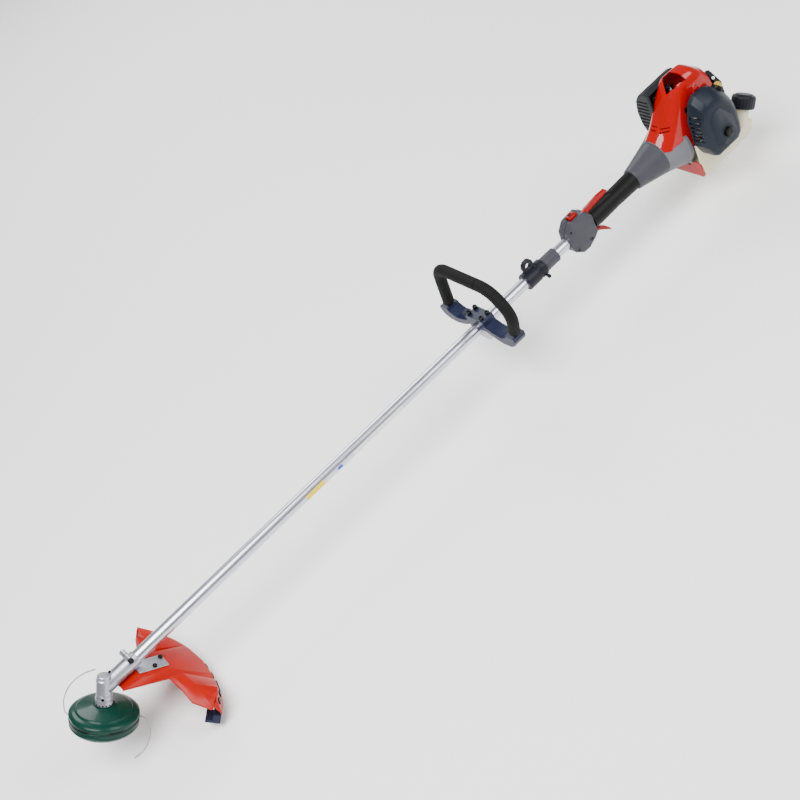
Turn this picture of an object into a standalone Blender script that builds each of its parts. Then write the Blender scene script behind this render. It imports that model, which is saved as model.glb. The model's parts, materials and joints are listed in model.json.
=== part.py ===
"""Petrol brush cutter: trimmer head, bevel gear head, guard, shaft, loop handle, throttle grip and engine.

Two frames carry every piece. `shaft_axis` has X along the shaft towards the engine, Y to the muffler side and Z
up through the cylinder. `spindle_axis` sits where the spindle crosses the shaft and is tilted by SPINDLE_TILT,
so that its Z runs up the cutting head's axis. All sizes below are millimetres; `part` turns them into metres.
"""

from math import atan2, cos, pi, radians, sin

import bmesh
import bpy
from mathutils import Matrix, Vector

MM = 0.001

# --- Where the frames stand ---------------------------------------------------------------------
SPINDLE_X = -838.84  # spindle and shaft axes cross here, so that the whole tool is centred on X
SHAFT_Y = -8.746
SHAFT_HEIGHT = 155.465 # shaft axis above the lowest point of the guard
SPINDLE_TILT = radians(35.0)  # of the spindle from the shaft's normal, towards the engine

# --- Shaft ---------------------------------------------------------------------------------------
TUBE_R = 12.0
TUBE_WALL = 1.6
TUBE_START = 47.5
TUBE_END = 1500.0
DRIVE_R = 3.3

# --- Gear head -----------------------------------------------------------------------------------
CASE_R = 14.2
CASE_TOP = 27.0
CASE_FOOT = -31.0
NECK_R = 15.0
NECK_END = 79.0
CLAMP_BOLT_U = 66.0
CLAMP_BOLT_W = 17.5

# --- Trimmer head --------------------------------------------------------------------------------
HEAD_R = 64.0
HEAD_TOP = -33.0
HEAD_SPLIT = -60.0
HEAD_FOOT = -79.0
LINE_R = 1.2
LINE_Z = -61.0
LINE_STEP = 6.0
# Where each cutting line runs in the head's plane, from its eyelet to its free end.
LINE_ROUTES = {
    "cutting_line_far": [(-51.5, 39), (-53, 50), (-42, 80), (-28, 103), (-10, 124), (12, 141), (34, 150), (57, 153)],
    "cutting_line_near": [(57.5, -29.5), (61, -40), (53, -73), (44, -92), (28, -114), (11, -129), (-10, -140)],
}

# --- Guard ---------------------------------------------------------------------------------------
GUARD_R = 203.0
GUARD_LIP_R = 216.0
GUARD_RIM = -6.0
GUARD_FOOT = -37.0
NEAR_LIFT = 16.0  # how much higher the near wing's lip lies
SADDLE_Z = 21.6
GUARD_SKIN = 3.0
GUARD_BOLTS = [(95.0, -10.0), (116.0, 9.0)]
GUARD_ROLL = radians(6.5)  # about the head's X, as it is clamped

# --- Loop handle ---------------------------------------------------------------------------------
HANDLE_U = 1000.0
HANDLE_HALF_WIDTH = 101.0
HANDLE_TOP = 122.0
HANDLE_FOOT = 9.0
HANDLE_LEAN = radians(1.0)
HANDLE_CORE_R = 6.0
FOAM_R = 12.0
FOAM_SEAM = -50.0
FOAM_START = 12.0

# --- Harness clamp, throttle and grip ------------------------------------------------------------
HARNESS_U = 1122.0
HARNESS_LENGTH = 52.0
SLEEVE_LENGTH = 37.0
THROTTLE_U = 1244.0
THROTTLE_LENGTH = 72.0
THROTTLE_HALF = 17.0
GRIP_R = 19.5
GRIP_START = THROTTLE_U + THROTTLE_LENGTH + 0.4
GRIP_END = 1446.0
TRIGGER_PIVOT = (1306.0, -19.0)
LOCK_PIVOT = (1322.0, 24.5)

# --- Engine --------------------------------------------------------------------------------------
CLUTCH_END = 1519.0
FAN_END = 1576.0
# What the shroud and the muffler's guard leave free round the fan housing (radius, place along the shaft).
FAN_CLEARANCE = [
    (0, 1500), (40.3, 1500), (40.8, CLUTCH_END + 0.4), (54.8, FAN_END - 10), (57.4, FAN_END - 9.6),
    (57.4, FAN_END + 1), (0, FAN_END + 1),
]
CASE_U = (1582.0, 1646.0)
CYLINDER_U = 1612.0
CYLINDER_TOP = 86.0
CASE_TOP_W = 30.0
SHROUD_TOP = 139.0
SHROUD_BACK = 1684.0
FAR_SIDE = 0.74  # the shroud is narrower towards the muffler
STARTER_U = (1687.0, 1716.0)
FILTER_V = -62.0
COVER_V = -101.0
TANK_TOP = -52.0
TANK_FOOT = -82.0
TANK_FRONT = 1578.0
TANK_BACK = 1730.0
PRIMER_AT = (1674.5, -62.0, 73.0)
CAP_CENTRE = (1742.0, -46.0, -18.0)


# --- Drawing -------------------------------------------------------------------------------------
def lathe(profile, steps=20):
    """Turn (radius, height) points about Z. A point at radius 0 closes that end; a ring profile closes on itself."""
    bm = bmesh.new()
    rings = []
    for r, z in profile:
        if r < 1e-6:
            rings.append([bm.verts.new((0, 0, z))])
        else:
            turn = [2 * pi * (i + 0.5) / steps for i in range(steps)]
            rings.append([bm.verts.new((r * cos(a), r * sin(a), z)) for a in turn])
    closed = len(rings[0]) > 1 and len(rings[-1]) > 1
    pairs = list(zip(rings, rings[1:])) + ([(rings[-1], rings[0])] if closed else [])
    for low, high in pairs:
        if len(low) + len(high) == 2:
            continue
        for i in range(steps):
            j = (i + 1) % steps
            corners = [low[i % len(low)], low[j % len(low)], high[j % len(high)], high[i % len(high)]]
            bm.faces.new(list(dict.fromkeys(corners)))
    return outward(bm)


def loft(sections):
    """Join equal closed outlines, given as lists of points, into one solid with both ends filled."""
    bm = bmesh.new()
    loops = [[bm.verts.new(p) for p in outline] for outline in sections]
    for low, high in zip(loops, loops[1:]):
        for i in range(len(low)):
            j = (i + 1) % len(low)
            bm.faces.new((low[i], low[j], high[j], high[i]))
    bm.faces.new(loops[0])
    bm.faces.new(loops[-1])
    return outward(bm)


def shell(outer, inner):
    """A thick open skin between two runs of sections, its rims closed by strips."""
    bm = bmesh.new()
    loops = [[bm.verts.new(p) for p in above + below[::-1]] for above, below in zip(outer, inner)]
    count = len(loops[0])
    for low, high in zip(loops, loops[1:]):
        for i in range(count):
            j = (i + 1) % count
            bm.faces.new((low[i], low[j], high[j], high[i]))
    for end in (loops[0], loops[-1]):
        for i in range(count // 2 - 1):
            bm.faces.new((end[i], end[i + 1], end[count - 2 - i], end[count - 1 - i]))
    bmesh.ops.triangulate(bm, faces=bm.faces)
    return outward(bm)


def outward(bm):
    bmesh.ops.recalc_face_normals(bm, faces=bm.faces)
    return bm


def along_x(bm, u=0.0, v=0.0, w=0.0):
    """Lay a solid drawn about Z along X, its heights becoming places along the shaft."""
    bmesh.ops.transform(bm, matrix=Matrix.Translation((u, v, w)) @ Matrix.Rotation(pi / 2, 4, "Y"), verts=bm.verts)
    return bm


def along_y(bm, u, v, w):
    bmesh.ops.transform(bm, matrix=Matrix.Translation((u, v, w)) @ Matrix.Rotation(-pi / 2, 4, "X"), verts=bm.verts)
    return bm


def moved(bm, matrix):
    bmesh.ops.transform(bm, matrix=matrix, verts=bm.verts)
    return bm


def rod(r, low, high, steps=16, chamfer=0.0):
    """A plain round bar about Z, with chamfered ends if asked."""
    c = chamfer
    if c:
        return lathe([(0, low), (r - c, low), (r, low + c), (r, high - c), (r - c, high), (0, high)], steps)
    return lathe([(0, low), (r, low), (r, high), (0, high)], steps)


def rod_along_shaft(r, start=0.0, end=1800.0, steps=24):
    return along_x(rod(r, start, end, steps))


def upright(r, u, v, low, high, steps=12):
    return moved(rod(r, low, high, steps), Matrix.Translation((u, v, 0)))


def ring(inner, outer, low, high, steps=20):
    return lathe([(inner, low), (outer, low), (outer, high), (inner, high)], steps)


def block(low, high, bevel=0.0):
    """A box between two corners, its edges rounded by a two-step bevel."""
    bm = bmesh.new()
    bmesh.ops.create_cube(bm, size=1.0)
    size = Vector(high) - Vector(low)
    centre = (Vector(high) + Vector(low)) / 2
    bmesh.ops.transform(bm, matrix=Matrix.Translation(centre) @ Matrix.Diagonal((*size, 1)), verts=bm.verts)
    return rounded(bm, bevel)


def rounded(bm, radius, segments=2):
    if radius:
        bmesh.ops.bevel(bm, geom=bm.edges[:], offset=radius, segments=segments, profile=0.5, affect="EDGES")
    return bm


def prism(outline, low, high, plane="XZ", bevel=0.0):
    """Extrude a flat outline between two values of the axis that its plane leaves out."""
    place = {
        "XZ": lambda a, b, h: (a, h, b),
        "YZ": lambda a, b, h: (h, a, b),
        "XY": lambda a, b, h: (a, b, h),
    }[plane]
    return rounded(loft([[place(a, b, h) for a, b in outline] for h in (low, high)]), bevel)


def arc(centre, radius, start, end, steps):
    """Points of a circular arc, in degrees, both ends included."""
    turn = [radians(start + (end - start) * i / steps) for i in range(steps + 1)]
    return [(centre[0] + radius * cos(a), centre[1] + radius * sin(a)) for a in turn]


def swept(points, radius, steps=12, bore=0.0):
    """A round bar, or a sleeve if it has a bore, that follows points lying in one plane; its ends are flat."""
    points = [Vector(p) for p in points]
    tangents = [(b - a).normalized() for a, b in zip(points, points[1:])]
    normal = next(c.normalized() for a, b in zip(tangents, tangents[1:]) if (c := a.cross(b)).length > 1e-4)
    turn = [2 * pi * (k + 0.5) / steps for k in range(steps)]
    bm = bmesh.new()
    skins = []
    for r in (radius, bore)[: 2 if bore else 1]:
        loops = []
        for i, p in enumerate(points):
            before, after = tangents[max(i - 1, 0)], tangents[min(i, len(tangents) - 1)]
            side = (before + after).normalized().cross(normal).normalized() / max(cos(before.angle(after) / 2), 0.5)
            loops.append([bm.verts.new(p + side * r * cos(a) + normal * r * sin(a)) for a in turn])
        skins.append(loops)
        for low, high in zip(loops, loops[1:]):
            for k in range(steps):
                bm.faces.new((low[k], low[(k + 1) % steps], high[(k + 1) % steps], high[k]))
    for end in (0, -1):
        if bore:
            outer, inner = skins[0][end], skins[1][end]
            for k in range(steps):
                bm.faces.new((outer[k], outer[(k + 1) % steps], inner[(k + 1) % steps], inner[k]))
        else:
            bm.faces.new(skins[0][end])
    return outward(bm)


def arch(u, half, top, power, base=-8.0, steps=14):
    """A section across the shaft: a superellipse with a square near shoulder and a round, narrower far one."""
    outline = []
    for i in range(steps + 1):
        a = pi * i / steps
        n, width = (2.0, half * FAR_SIDE) if cos(a) > 0 else (power, -half)
        outline.append((u, width * abs(cos(a)) ** (2 / n), base + (top - base) * sin(a) ** (2 / n)))
    return outline


# --- Objects -------------------------------------------------------------------------------------
def material(name, colour, roughness, metallic=0.0, alpha=1.0):
    made = bpy.data.materials.new(name)
    made.use_nodes = True
    shader = made.node_tree.nodes["Principled BSDF"]
    shader.inputs["Base Color"].default_value = (*[(c / 255) ** 2.2 for c in colour], 1)
    shader.inputs["Roughness"].default_value = roughness
    shader.inputs["Metallic"].default_value = metallic
    shader.inputs["Alpha"].default_value = alpha
    made.diffuse_color = (*[(c / 255) ** 2.2 for c in colour], alpha)
    return made


def part(name, bm, finish, parent, at=(0, 0, 0), flat=False):
    """Make a sub-part of a solid drawn in its parent's frame, in millimetres, with its origin moved to `at`."""
    bmesh.ops.transform(bm, matrix=Matrix.Scale(MM, 4) @ Matrix.Translation(-Vector(at)), verts=bm.verts)
    mesh = bpy.data.meshes.new(name)
    bm.to_mesh(mesh)
    bm.free()
    obj = bpy.data.objects.new(name, mesh)
    bpy.context.scene.collection.objects.link(obj)
    obj.parent = parent
    obj.location = Vector(at) * MM
    if finish:
        mesh.materials.append(material(name, *finish))
    if not flat:
        mesh.shade_smooth()
        mesh.set_sharp_from_angle(angle=radians(35))
    return obj


def shaped(obj, operation, *tools):
    """Cut or join solids, drawn in the same frame as the object, with exact Booleans."""
    for i, bm in enumerate(tools):
        tool = part(f"{obj.name}.{operation.lower()}{i}", bm, None, obj.parent, flat=True)
        tool.hide_render = True
        tool.display_type = "WIRE"
        step = obj.modifiers.new(f"{operation} {i}", "BOOLEAN")
        step.operation, step.solver, step.object = operation, "EXACT", tool
    return obj


def cut(obj, *tools):
    return shaped(obj, "DIFFERENCE", *tools)


def joined(obj, *tools):
    return shaped(obj, "UNION", *tools)


def axis_empty(name, location, rotation=(0, 0, 0), parent=None):
    empty = bpy.data.objects.new(name, None)
    empty.location = Vector(location) * MM
    empty.rotation_euler = rotation
    empty.parent = parent
    bpy.context.scene.collection.objects.link(empty)
    return empty


# Colour 0-255, roughness, metallic
ALLOY = ((165, 165, 175), 0.42, 0.85)
TUBE_METAL = ((202, 202, 210), 0.28, 0.95)
STEEL = ((150, 152, 156), 0.3, 1.0)
BLACK_STEEL = ((30, 31, 34), 0.42, 0.7)
GUARD_RED = ((205, 30, 10), 0.42)
GLOSS_RED = ((222, 4, 2), 0.12)
CONTROL_RED = ((200, 6, 4), 0.28)
HEAD_GREEN = ((15, 80, 65), 0.4)
BLACK_PLASTIC = ((22, 22, 24), 0.5)
FOAM_BLACK = ((30, 30, 30), 0.8)
SLATE = ((55, 63, 80), 0.45)
BRACKET_BLUE = ((60, 65, 90), 0.42)
HOUSING_GREY = ((98, 98, 103), 0.5)
LIGHT_GREY = ((135, 135, 140), 0.5)
CHARCOAL = ((40, 42, 50), 0.5)
CREAM = ((205, 200, 180), 0.35)
NYLON = ((150, 150, 150), 0.4)
FOAM_GREEN = ((70, 95, 60), 0.95)
BULB = ((214, 190, 70), 0.15)


# --- Gear head and shaft -------------------------------------------------------------------------
def gear_head(shaft, spindle):
    tilt = Matrix.Rotation(-SPINDLE_TILT, 4, "Y")  # from the shaft's frame into the spindle's

    def on_shaft(bm):
        return moved(bm, tilt)

    case = part(
        "gearcase",
        lathe([
            (0, CASE_TOP), (11, CASE_TOP), (12.4, CASE_TOP - 1.5), (12.4, 20), (CASE_R, 18), (CASE_R, -15),
            (15.6, -18), (15.6, -25), (16.6, -27), (16.6, CASE_FOOT), (0, CASE_FOOT),
        ], 28),
        ALLOY, spindle,
    )
    joined(
        case,
        on_shaft(along_x(rod(NECK_R, 2, NECK_END, 28, 1.2))),
        on_shaft(along_y(rod(6, -16, 16, 20), CLAMP_BOLT_U, 0, CLAMP_BOLT_W)),
    )
    cut(
        case,
        rod(11, CASE_FOOT - 5, 20, 24),
        on_shaft(along_x(rod(9.5, 1, TUBE_START + 1, 24))),
        on_shaft(along_x(rod(TUBE_R + 0.3, TUBE_START - 0.4, NECK_END + 5, 28))),
        on_shaft(along_y(rod(3.3, -20, 20, 16), CLAMP_BOLT_U, 0, CLAMP_BOLT_W)),
        on_shaft(block((52, -0.9, 8), (NECK_END + 5, 0.9, 30))),
    )
    part("output_spindle", lathe([
        (0, 16), (4.7, 16), (4.7, -1.5), (9.4, -3), (10, -8), (8, -10), (8, -19), (4.7, -19), (4.7, -55), (0, -55),
    ]), STEEL, spindle)
    part("spindle_bearing", ring(5.1, 10.7, -29, -21), STEEL, spindle)
    part("bevel_pinion", along_x(lathe([
        (DRIVE_R + 0.3, 15), (4.6, 14), (6.5, 20), (6.5, 24), (DRIVE_R + 0.3, 24),
    ])), STEEL, shaft)
    part("clamp_bolt", along_y(lathe([
        (0, -21), (4.6, -21), (5.2, -20.2), (5.2, -16.4), (2.9, -16.4), (2.9, 18), (0, 18),
    ], 16), CLAMP_BOLT_U, 0, CLAMP_BOLT_W), BLACK_STEEL, shaft, at=(CLAMP_BOLT_U, 0, CLAMP_BOLT_W))
    part("drive_shaft", along_x(rod(DRIVE_R, 15.5, 1507, 16)), STEEL, shaft)
    inner = TUBE_R - TUBE_WALL
    part("shaft_tube", along_x(ring(inner, TUBE_R, TUBE_START, TUBE_END, 28)), TUBE_METAL, shaft)
    part("shaft_bushing", along_x(ring(DRIVE_R + 0.3, inner - 0.3, 690, 720)), BLACK_PLASTIC, shaft)


# --- Trimmer head --------------------------------------------------------------------------------
def trimmer_head(spindle):
    part("head_housing", lathe([
        (5.1, HEAD_TOP), (20, HEAD_TOP), (50, -39.5), (51.5, -41.5), (59, -44.5), (HEAD_R, -48.5), (HEAD_R, HEAD_SPLIT),
        (61.5, HEAD_SPLIT), (61.5, -50), (50, -43.5), (20, -37), (12, -37), (12, -56), (5.1, -56),
    ], 36), HEAD_GREEN, spindle)
    part("head_cup", lathe([
        (25, HEAD_FOOT), (57, HEAD_FOOT + 1), (61, -74), (62.5, -70), (62.5, HEAD_SPLIT - 1.2), (60, HEAD_SPLIT - 1.2),
        (60, -70), (56, -75), (25, -76.4),
    ], 36), HEAD_GREEN, spindle)
    part("bump_spool", lathe([
        (13, -58.5), (52, -58.5), (52, -60.2), (22, -60.2), (22, -71), (52, -71), (52, -72.6), (23.5, -72.6),
        (23.5, -82), (20, -87), (12, -88.5), (0, -88.5), (0, -85.5), (13, -85),
    ], 32), BLACK_PLASTIC, spindle)


def smooth(points, step):
    """Points about `step` apart on the smooth curve (Catmull-Rom) through the given ones."""
    given = [Vector(p) for p in points]
    given = [given[0] * 2 - given[1], *given, given[-1] * 2 - given[-2]]
    line = []
    for a, b, c, d in zip(given, given[1:], given[2:], given[3:]):
        count = max(1, round((c - b).length / step))
        for i in range(count):
            t = i / count
            bend = (a * 2 - b * 5 + c * 4 - d) * t**2 + (b * 3 - a - c * 3 + d) * t**3
            line.append((b * 2 + (c - a) * t + bend) / 2)
    return [*line, given[-2]]


def cutting_lines(spindle):
    for name, route in LINE_ROUTES.items():
        points = smooth(route, LINE_STEP)
        curve = bpy.data.curves.new(name, "CURVE")
        curve.dimensions = "3D"
        curve.bevel_depth = LINE_R * MM
        curve.bevel_resolution = 2
        curve.use_fill_caps = True
        spline = curve.splines.new("POLY")
        spline.points.add(len(points) - 1)
        for point, (x, y) in zip(spline.points, points):
            point.co = (x * MM, y * MM, LINE_Z * MM, 1)
        curve.materials.append(material(name, *NYLON))
        obj = bpy.data.objects.new(name, curve)
        obj.parent = spindle
        bpy.context.scene.collection.objects.link(obj)


# --- Guard ---------------------------------------------------------------------------------------
def guard_set(spindle):
    """The shield is a loft of sections that fan round the spindle: a saddle under the tube, then two wings.

    The near wing is shorter and lies higher than the far one, which reaches down behind the line.
    """
    roll = Matrix.Rotation(GUARD_ROLL, 4, "X")

    def section(angle, inner, ridge, crown, inward=0.0, lift=0.0):
        """Inner edge, ridge, crown, rim and lip of one section, then back along the inside."""
        out = Vector((cos(radians(angle)), sin(radians(angle)), 0))
        pull, down = Vector((0, inward, 0)), Vector((0, 0, -GUARD_SKIN))
        top = [Vector(p) for p in (inner, ridge, crown)]
        top += [
            out * GUARD_R + Vector((0, 0, GUARD_RIM + lift)), out * GUARD_LIP_R + Vector((0, 0, GUARD_FOOT + lift)),
        ]
        under = [p + pull + down for p in top[:3]] + [top[3] - out * GUARD_SKIN + down, top[4] - out * GUARD_SKIN]
        return top + under[::-1]

    top = SADDLE_Z
    far = [
        section(46, (137, 142, -31), (138.5, 143.5, -30), (140, 145, -26)),
        section(39, (120, 102, -27), (127, 105, -21), (141, 113, -12)),
        section(31, (116, 74, -16), (122, 76, -8), (138, 80, 3)),
        section(23, (108, 49, -6), (114, 50, -1), (132, 52, 9)),
        section(16, (20, 38, -8), (60, 42, -7), (108, 45, -6)),
        section(12, (26, 30, -2), (62, 31, top), (120, 31, top), inward=-3.0),
    ]
    near = [
        section(-39, (147, -130, -6), (148.5, -131, -5), (150, -132, -2), lift=NEAR_LIFT),
        section(-34, (126, -98, -6), (133, -101, -2), (147, -108, 5), lift=NEAR_LIFT),
        section(-28, (120, -70, 4), (126, -72, 9), (142, -76, 14), lift=14),
        section(-22, (108, -43, 16), (114, -44, 18), (134, -46, 20), lift=6),
        section(-16, (20, -32, 11), (60, -36, 13), (108, -39, 16)),
        section(-12, (26, -24, 5), (62, -27, top), (120, -27, top), inward=3.0),
    ]
    middle = section(0, (27, 0, 0), (60, 0, top), (120, 0, top))
    guard = part("guard", moved(loft(near + [middle] + far[::-1]), roll), GUARD_RED, spindle, flat=True)
    plate = part("guard_bracket", moved(block((61, -17, top + 0.4), (121, 17, top + 2.8), 0.9), roll), ALLOY, spindle)
    for piece in (guard, plate):
        cut(piece, *[moved(upright(2.7, x, y, 0, 40), roll) for x, y in GUARD_BOLTS])
    for name, (x, y) in zip(("guard_bolt_front", "guard_bolt_rear"), GUARD_BOLTS):
        bolt = lathe([
            (0, 28.2), (3.6, 28.2), (4.6, 27.3), (4.6, top + 3.1), (2.3, top + 3.1), (2.3, top - 8), (0, top - 8),
        ], 12)
        part(name, moved(bolt, roll @ Matrix.Translation((x, y, 0))), BLACK_STEEL, spindle)
    foot = GUARD_FOOT + NEAR_LIFT - 2.5
    knife = prism([
        (186, foot - 18), (214, foot - 18), (214, foot), (200, foot), (200, foot - 12), (186, foot - 12),
    ], -16, 16)
    turn = Matrix.Rotation(radians(-35.5), 4, "Z")
    part("line_knife", moved(knife, roll @ turn), BRACKET_BLUE, spindle, flat=True)


# --- Loop handle ---------------------------------------------------------------------------------
def loop_route():
    """Points of the loop in its own plane (across, up), from the near foot over the top to the far foot."""
    corners = [
        (-HANDLE_HALF_WIDTH, HANDLE_FOOT), (-124, 74), (-84, HANDLE_TOP), (76, HANDLE_TOP), (HANDLE_HALF_WIDTH, HANDLE_FOOT),
    ]
    reach = [30, 28, 30]
    route = [corners[0]]
    for before, here, after, r in zip(corners, corners[1:], corners[2:], reach):
        here = Vector(here)
        start = here + (Vector(before) - here).normalized() * r
        end = here + (Vector(after) - here).normalized() * r
        for i in range(6):
            t = i / 5
            route.append(tuple(start * (1 - t) ** 2 + here * 2 * t * (1 - t) + end * t**2))
    return route + [corners[-1]]


def loop_handle(shaft):
    lean = Matrix.Translation((HANDLE_U, 0, 0)) @ Matrix.Rotation(HANDLE_LEAN, 4, "Y")
    route = [Vector(p) for p in loop_route()]

    def in_plane(points):
        return [lean @ Vector((0, a, b)) for a, b in points]

    def up_leg(foot, above, distance):
        return foot + (above - foot).normalized() * distance

    def socket(foot, above):
        aim = above - foot
        place = Matrix.Translation((HANDLE_U, foot.x, foot.y)) @ Matrix.Rotation(-atan2(aim.x, aim.y), 4, "X")
        return moved(rod(HANDLE_CORE_R + 0.5, -1, 60), place)

    part("handle_loop", swept(in_plane(route), HANDLE_CORE_R, 12), BLACK_STEEL, shaft)
    legs = [(route[0], route[1]), (route[-1], route[-2])]
    seam = next(i for i, p in enumerate(route) if p.x > FOAM_SEAM)
    near = [up_leg(*legs[0], FOAM_START), *route[1:seam], (FOAM_SEAM - 0.4, HANDLE_TOP)]
    far = [(FOAM_SEAM + 0.4, HANDLE_TOP), *route[seam:-1], up_leg(*legs[1], FOAM_START)]
    for name, path in (("foam_grip_near", near), ("foam_grip_far", far)):
        part(name, swept(in_plane(path), FOAM_R, 16, HANDLE_CORE_R + 0.4), FOAM_BLACK, shaft)

    side = [
        (26, 0.4), (45, -8), (70, -14), (95, -12), (109, -4), (114, 6), (114, 15), (89, 15), (88, 9), (70, 1),
        (45, 5), (27, 12), (27, 23), (23, 26),
    ]
    outline = side + [(-a, b) for a, b in side[::-1]]
    u = HANDLE_U
    bracket = part("handle_bracket", prism(outline, u - 15, u + 15, "YZ"), BRACKET_BLUE, shaft)
    lower = part("handle_clamp", block((u - 15, -26, -24), (u + 15, 26, -0.4), 1.5), ALLOY, shaft)
    places = [(u + a, b) for a in (-8.5, 8.5) for b in (-19, 19)]
    for piece, extra in ((bracket, [socket(*leg) for leg in legs]), (lower, [])):
        cut(piece, rod_along_shaft(TUBE_R + 0.3), *extra, *[upright(3.0, a, b, -40, 40) for a, b in places])
    for i, (a, b) in enumerate(places):
        screw = lathe([(0, 33), (4, 33), (5, 32), (5, 26.4), (2.6, 26.4), (2.6, -23.2), (0, -23.2)], 12)
        part(f"handle_screw_{i + 1}", moved(screw, Matrix.Translation((a, b, 0))), BLACK_STEEL, shaft)


# --- Harness clamp, throttle and grip ------------------------------------------------------------
def harness_clamp(shaft):
    """Two collars in one moulding, with an eye for the harness hook standing on its far upper side."""
    u, length = HARNESS_U, HARNESS_LENGTH
    collar = part("harness_clamp", along_x(lathe([
        (TUBE_R + 0.3, 0), (17.5, 0), (18.8, 1.5), (18.8, 32), (16.5, 34), (16.5, 37), (18.8, 39), (18.8, length - 1.5),
        (17.5, length), (TUBE_R + 0.3, length),
    ], 24), u), CHARCOAL, shaft)
    eye = Matrix.Translation((u + 20, 0, 30))
    hoop = moved(along_y(rod(14, -4.5, 4.5, 24, 1.5), 0, 0, 0), eye)
    joined(collar, hoop, moved(block((-12.5, -3.9, -16), (12.5, 3.9, -4)), eye))
    cut(collar, moved(along_y(rod(7, -10, 10, 16), 0, 0, 0), eye), along_y(rod(2.9, -30, -12, 12), u + 44, 0, -12))
    part("harness_screw", along_y(lathe([
        (0, -24), (4.2, -24), (4.2, -19.6), (2.5, -19.6), (2.5, -12.6), (0, -12.6),
    ], 12), u + 44, 0, -12), BLACK_STEEL, shaft)
    start = u + length + 0.4
    sleeve = ring((TUBE_R + 0.3) / cos(pi / 10), 16, start, start + SLEEVE_LENGTH, 10)
    part("shaft_sleeve", along_x(sleeve), HOUSING_GREY, shaft)


def throttle(shaft):
    """A two-part housing round the tube, with the trigger below, the lock-out lever and the stop switch above."""
    start, end = THROTTLE_U, THROTTLE_U + THROTTLE_LENGTH
    outline = [
        (start, -6), (start + 5, -24), (start + 22, -38), (start + 40, -39), (start + 50, -34), (end - 12, -30),
        (end, -21), (end, 21), (end - 6, 32), (start + 60, 36), (start + 54, 42), (start + 20, 40), (start + 4, 24),
    ]
    well = [(end - 22, -28), (end - 22, -14.5), (end + 4, -14.5), (end + 4, -42), (end - 14, -42)]
    for name, low, high in (
        ("throttle_housing_near", -THROTTLE_HALF, -0.2), ("throttle_housing_far", 0.2, THROTTLE_HALF),
    ):
        half = part(name, prism(outline, low, high), HOUSING_GREY, shaft, flat=True)
        outer = half.modifiers.new("edges", "BEVEL")
        outer.width, outer.segments, outer.limit_method, outer.angle_limit = 2.5 * MM, 2, "ANGLE", radians(60)
        cut(
            half,
            rod_along_shaft(TUBE_R + 0.3),
            prism(well, -6.4, 6.4),
            block((end - 13, -5.4, 18), (end + 5, 5.4, 50)),
            block((start + 26, -8.4, 36), (start + 48, 8.4, 60)),
        )
    u, w = TRIGGER_PIVOT
    blade = [
        (u - 7, w + 3), (u + 4, w + 3), (u + 8, w - 3), (u + 24, w - 6), (u + 38, w - 17), (u + 48, w - 31),
        (u + 45, w - 33), (u + 34, w - 24), (u + 20, w - 13), (u + 2, w - 10), (u - 7, w - 6),
    ]
    part("throttle_trigger", prism(blade, -5.6, 5.6, bevel=0.8), CONTROL_RED, shaft, at=(u, 0, w))
    u, w = LOCK_PIVOT
    lever = [
        (u - 16, w - 4), (u - 4, w - 4), (u + 2, w - 1), (u + 46, w + 2), (u + 58, w + 6), (u + 54, w + 11),
        (u + 30, w + 12), (u - 6, w + 9), (u - 16, w + 6),
    ]
    part("lockout_lever", prism(lever, -4.8, 4.8, bevel=0.8), CONTROL_RED, shaft, at=(u - 10, 0, w))
    part("stop_switch", prism([
        (start + 27, 37), (start + 47, 37), (start + 47, 45), (start + 39, 48), (start + 27, 48),
    ], -8, 8, bevel=0.8), CONTROL_RED, shaft, at=(start + 37, 0, 38))
    grip = part("rear_grip", along_x(lathe([
        (TUBE_R + 0.3, GRIP_START), (GRIP_R, GRIP_START), (GRIP_R + 1, GRIP_START + 20), (GRIP_R, 1382),
        (GRIP_R + 1, 1425), (GRIP_R + 1.5, GRIP_END - 0.4), (TUBE_R + 0.3, GRIP_END - 0.4),
    ], 24)), BLACK_PLASTIC, shaft)
    cut(
        grip,
        block((GRIP_START - 5, -5.6, 17.5), (LOCK_PIVOT[0] + 62, 5.6, 40)),
        block((GRIP_START - 5, -6.4, -40), (GRIP_START + 26, 6.4, -15.5)),
    )


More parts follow.
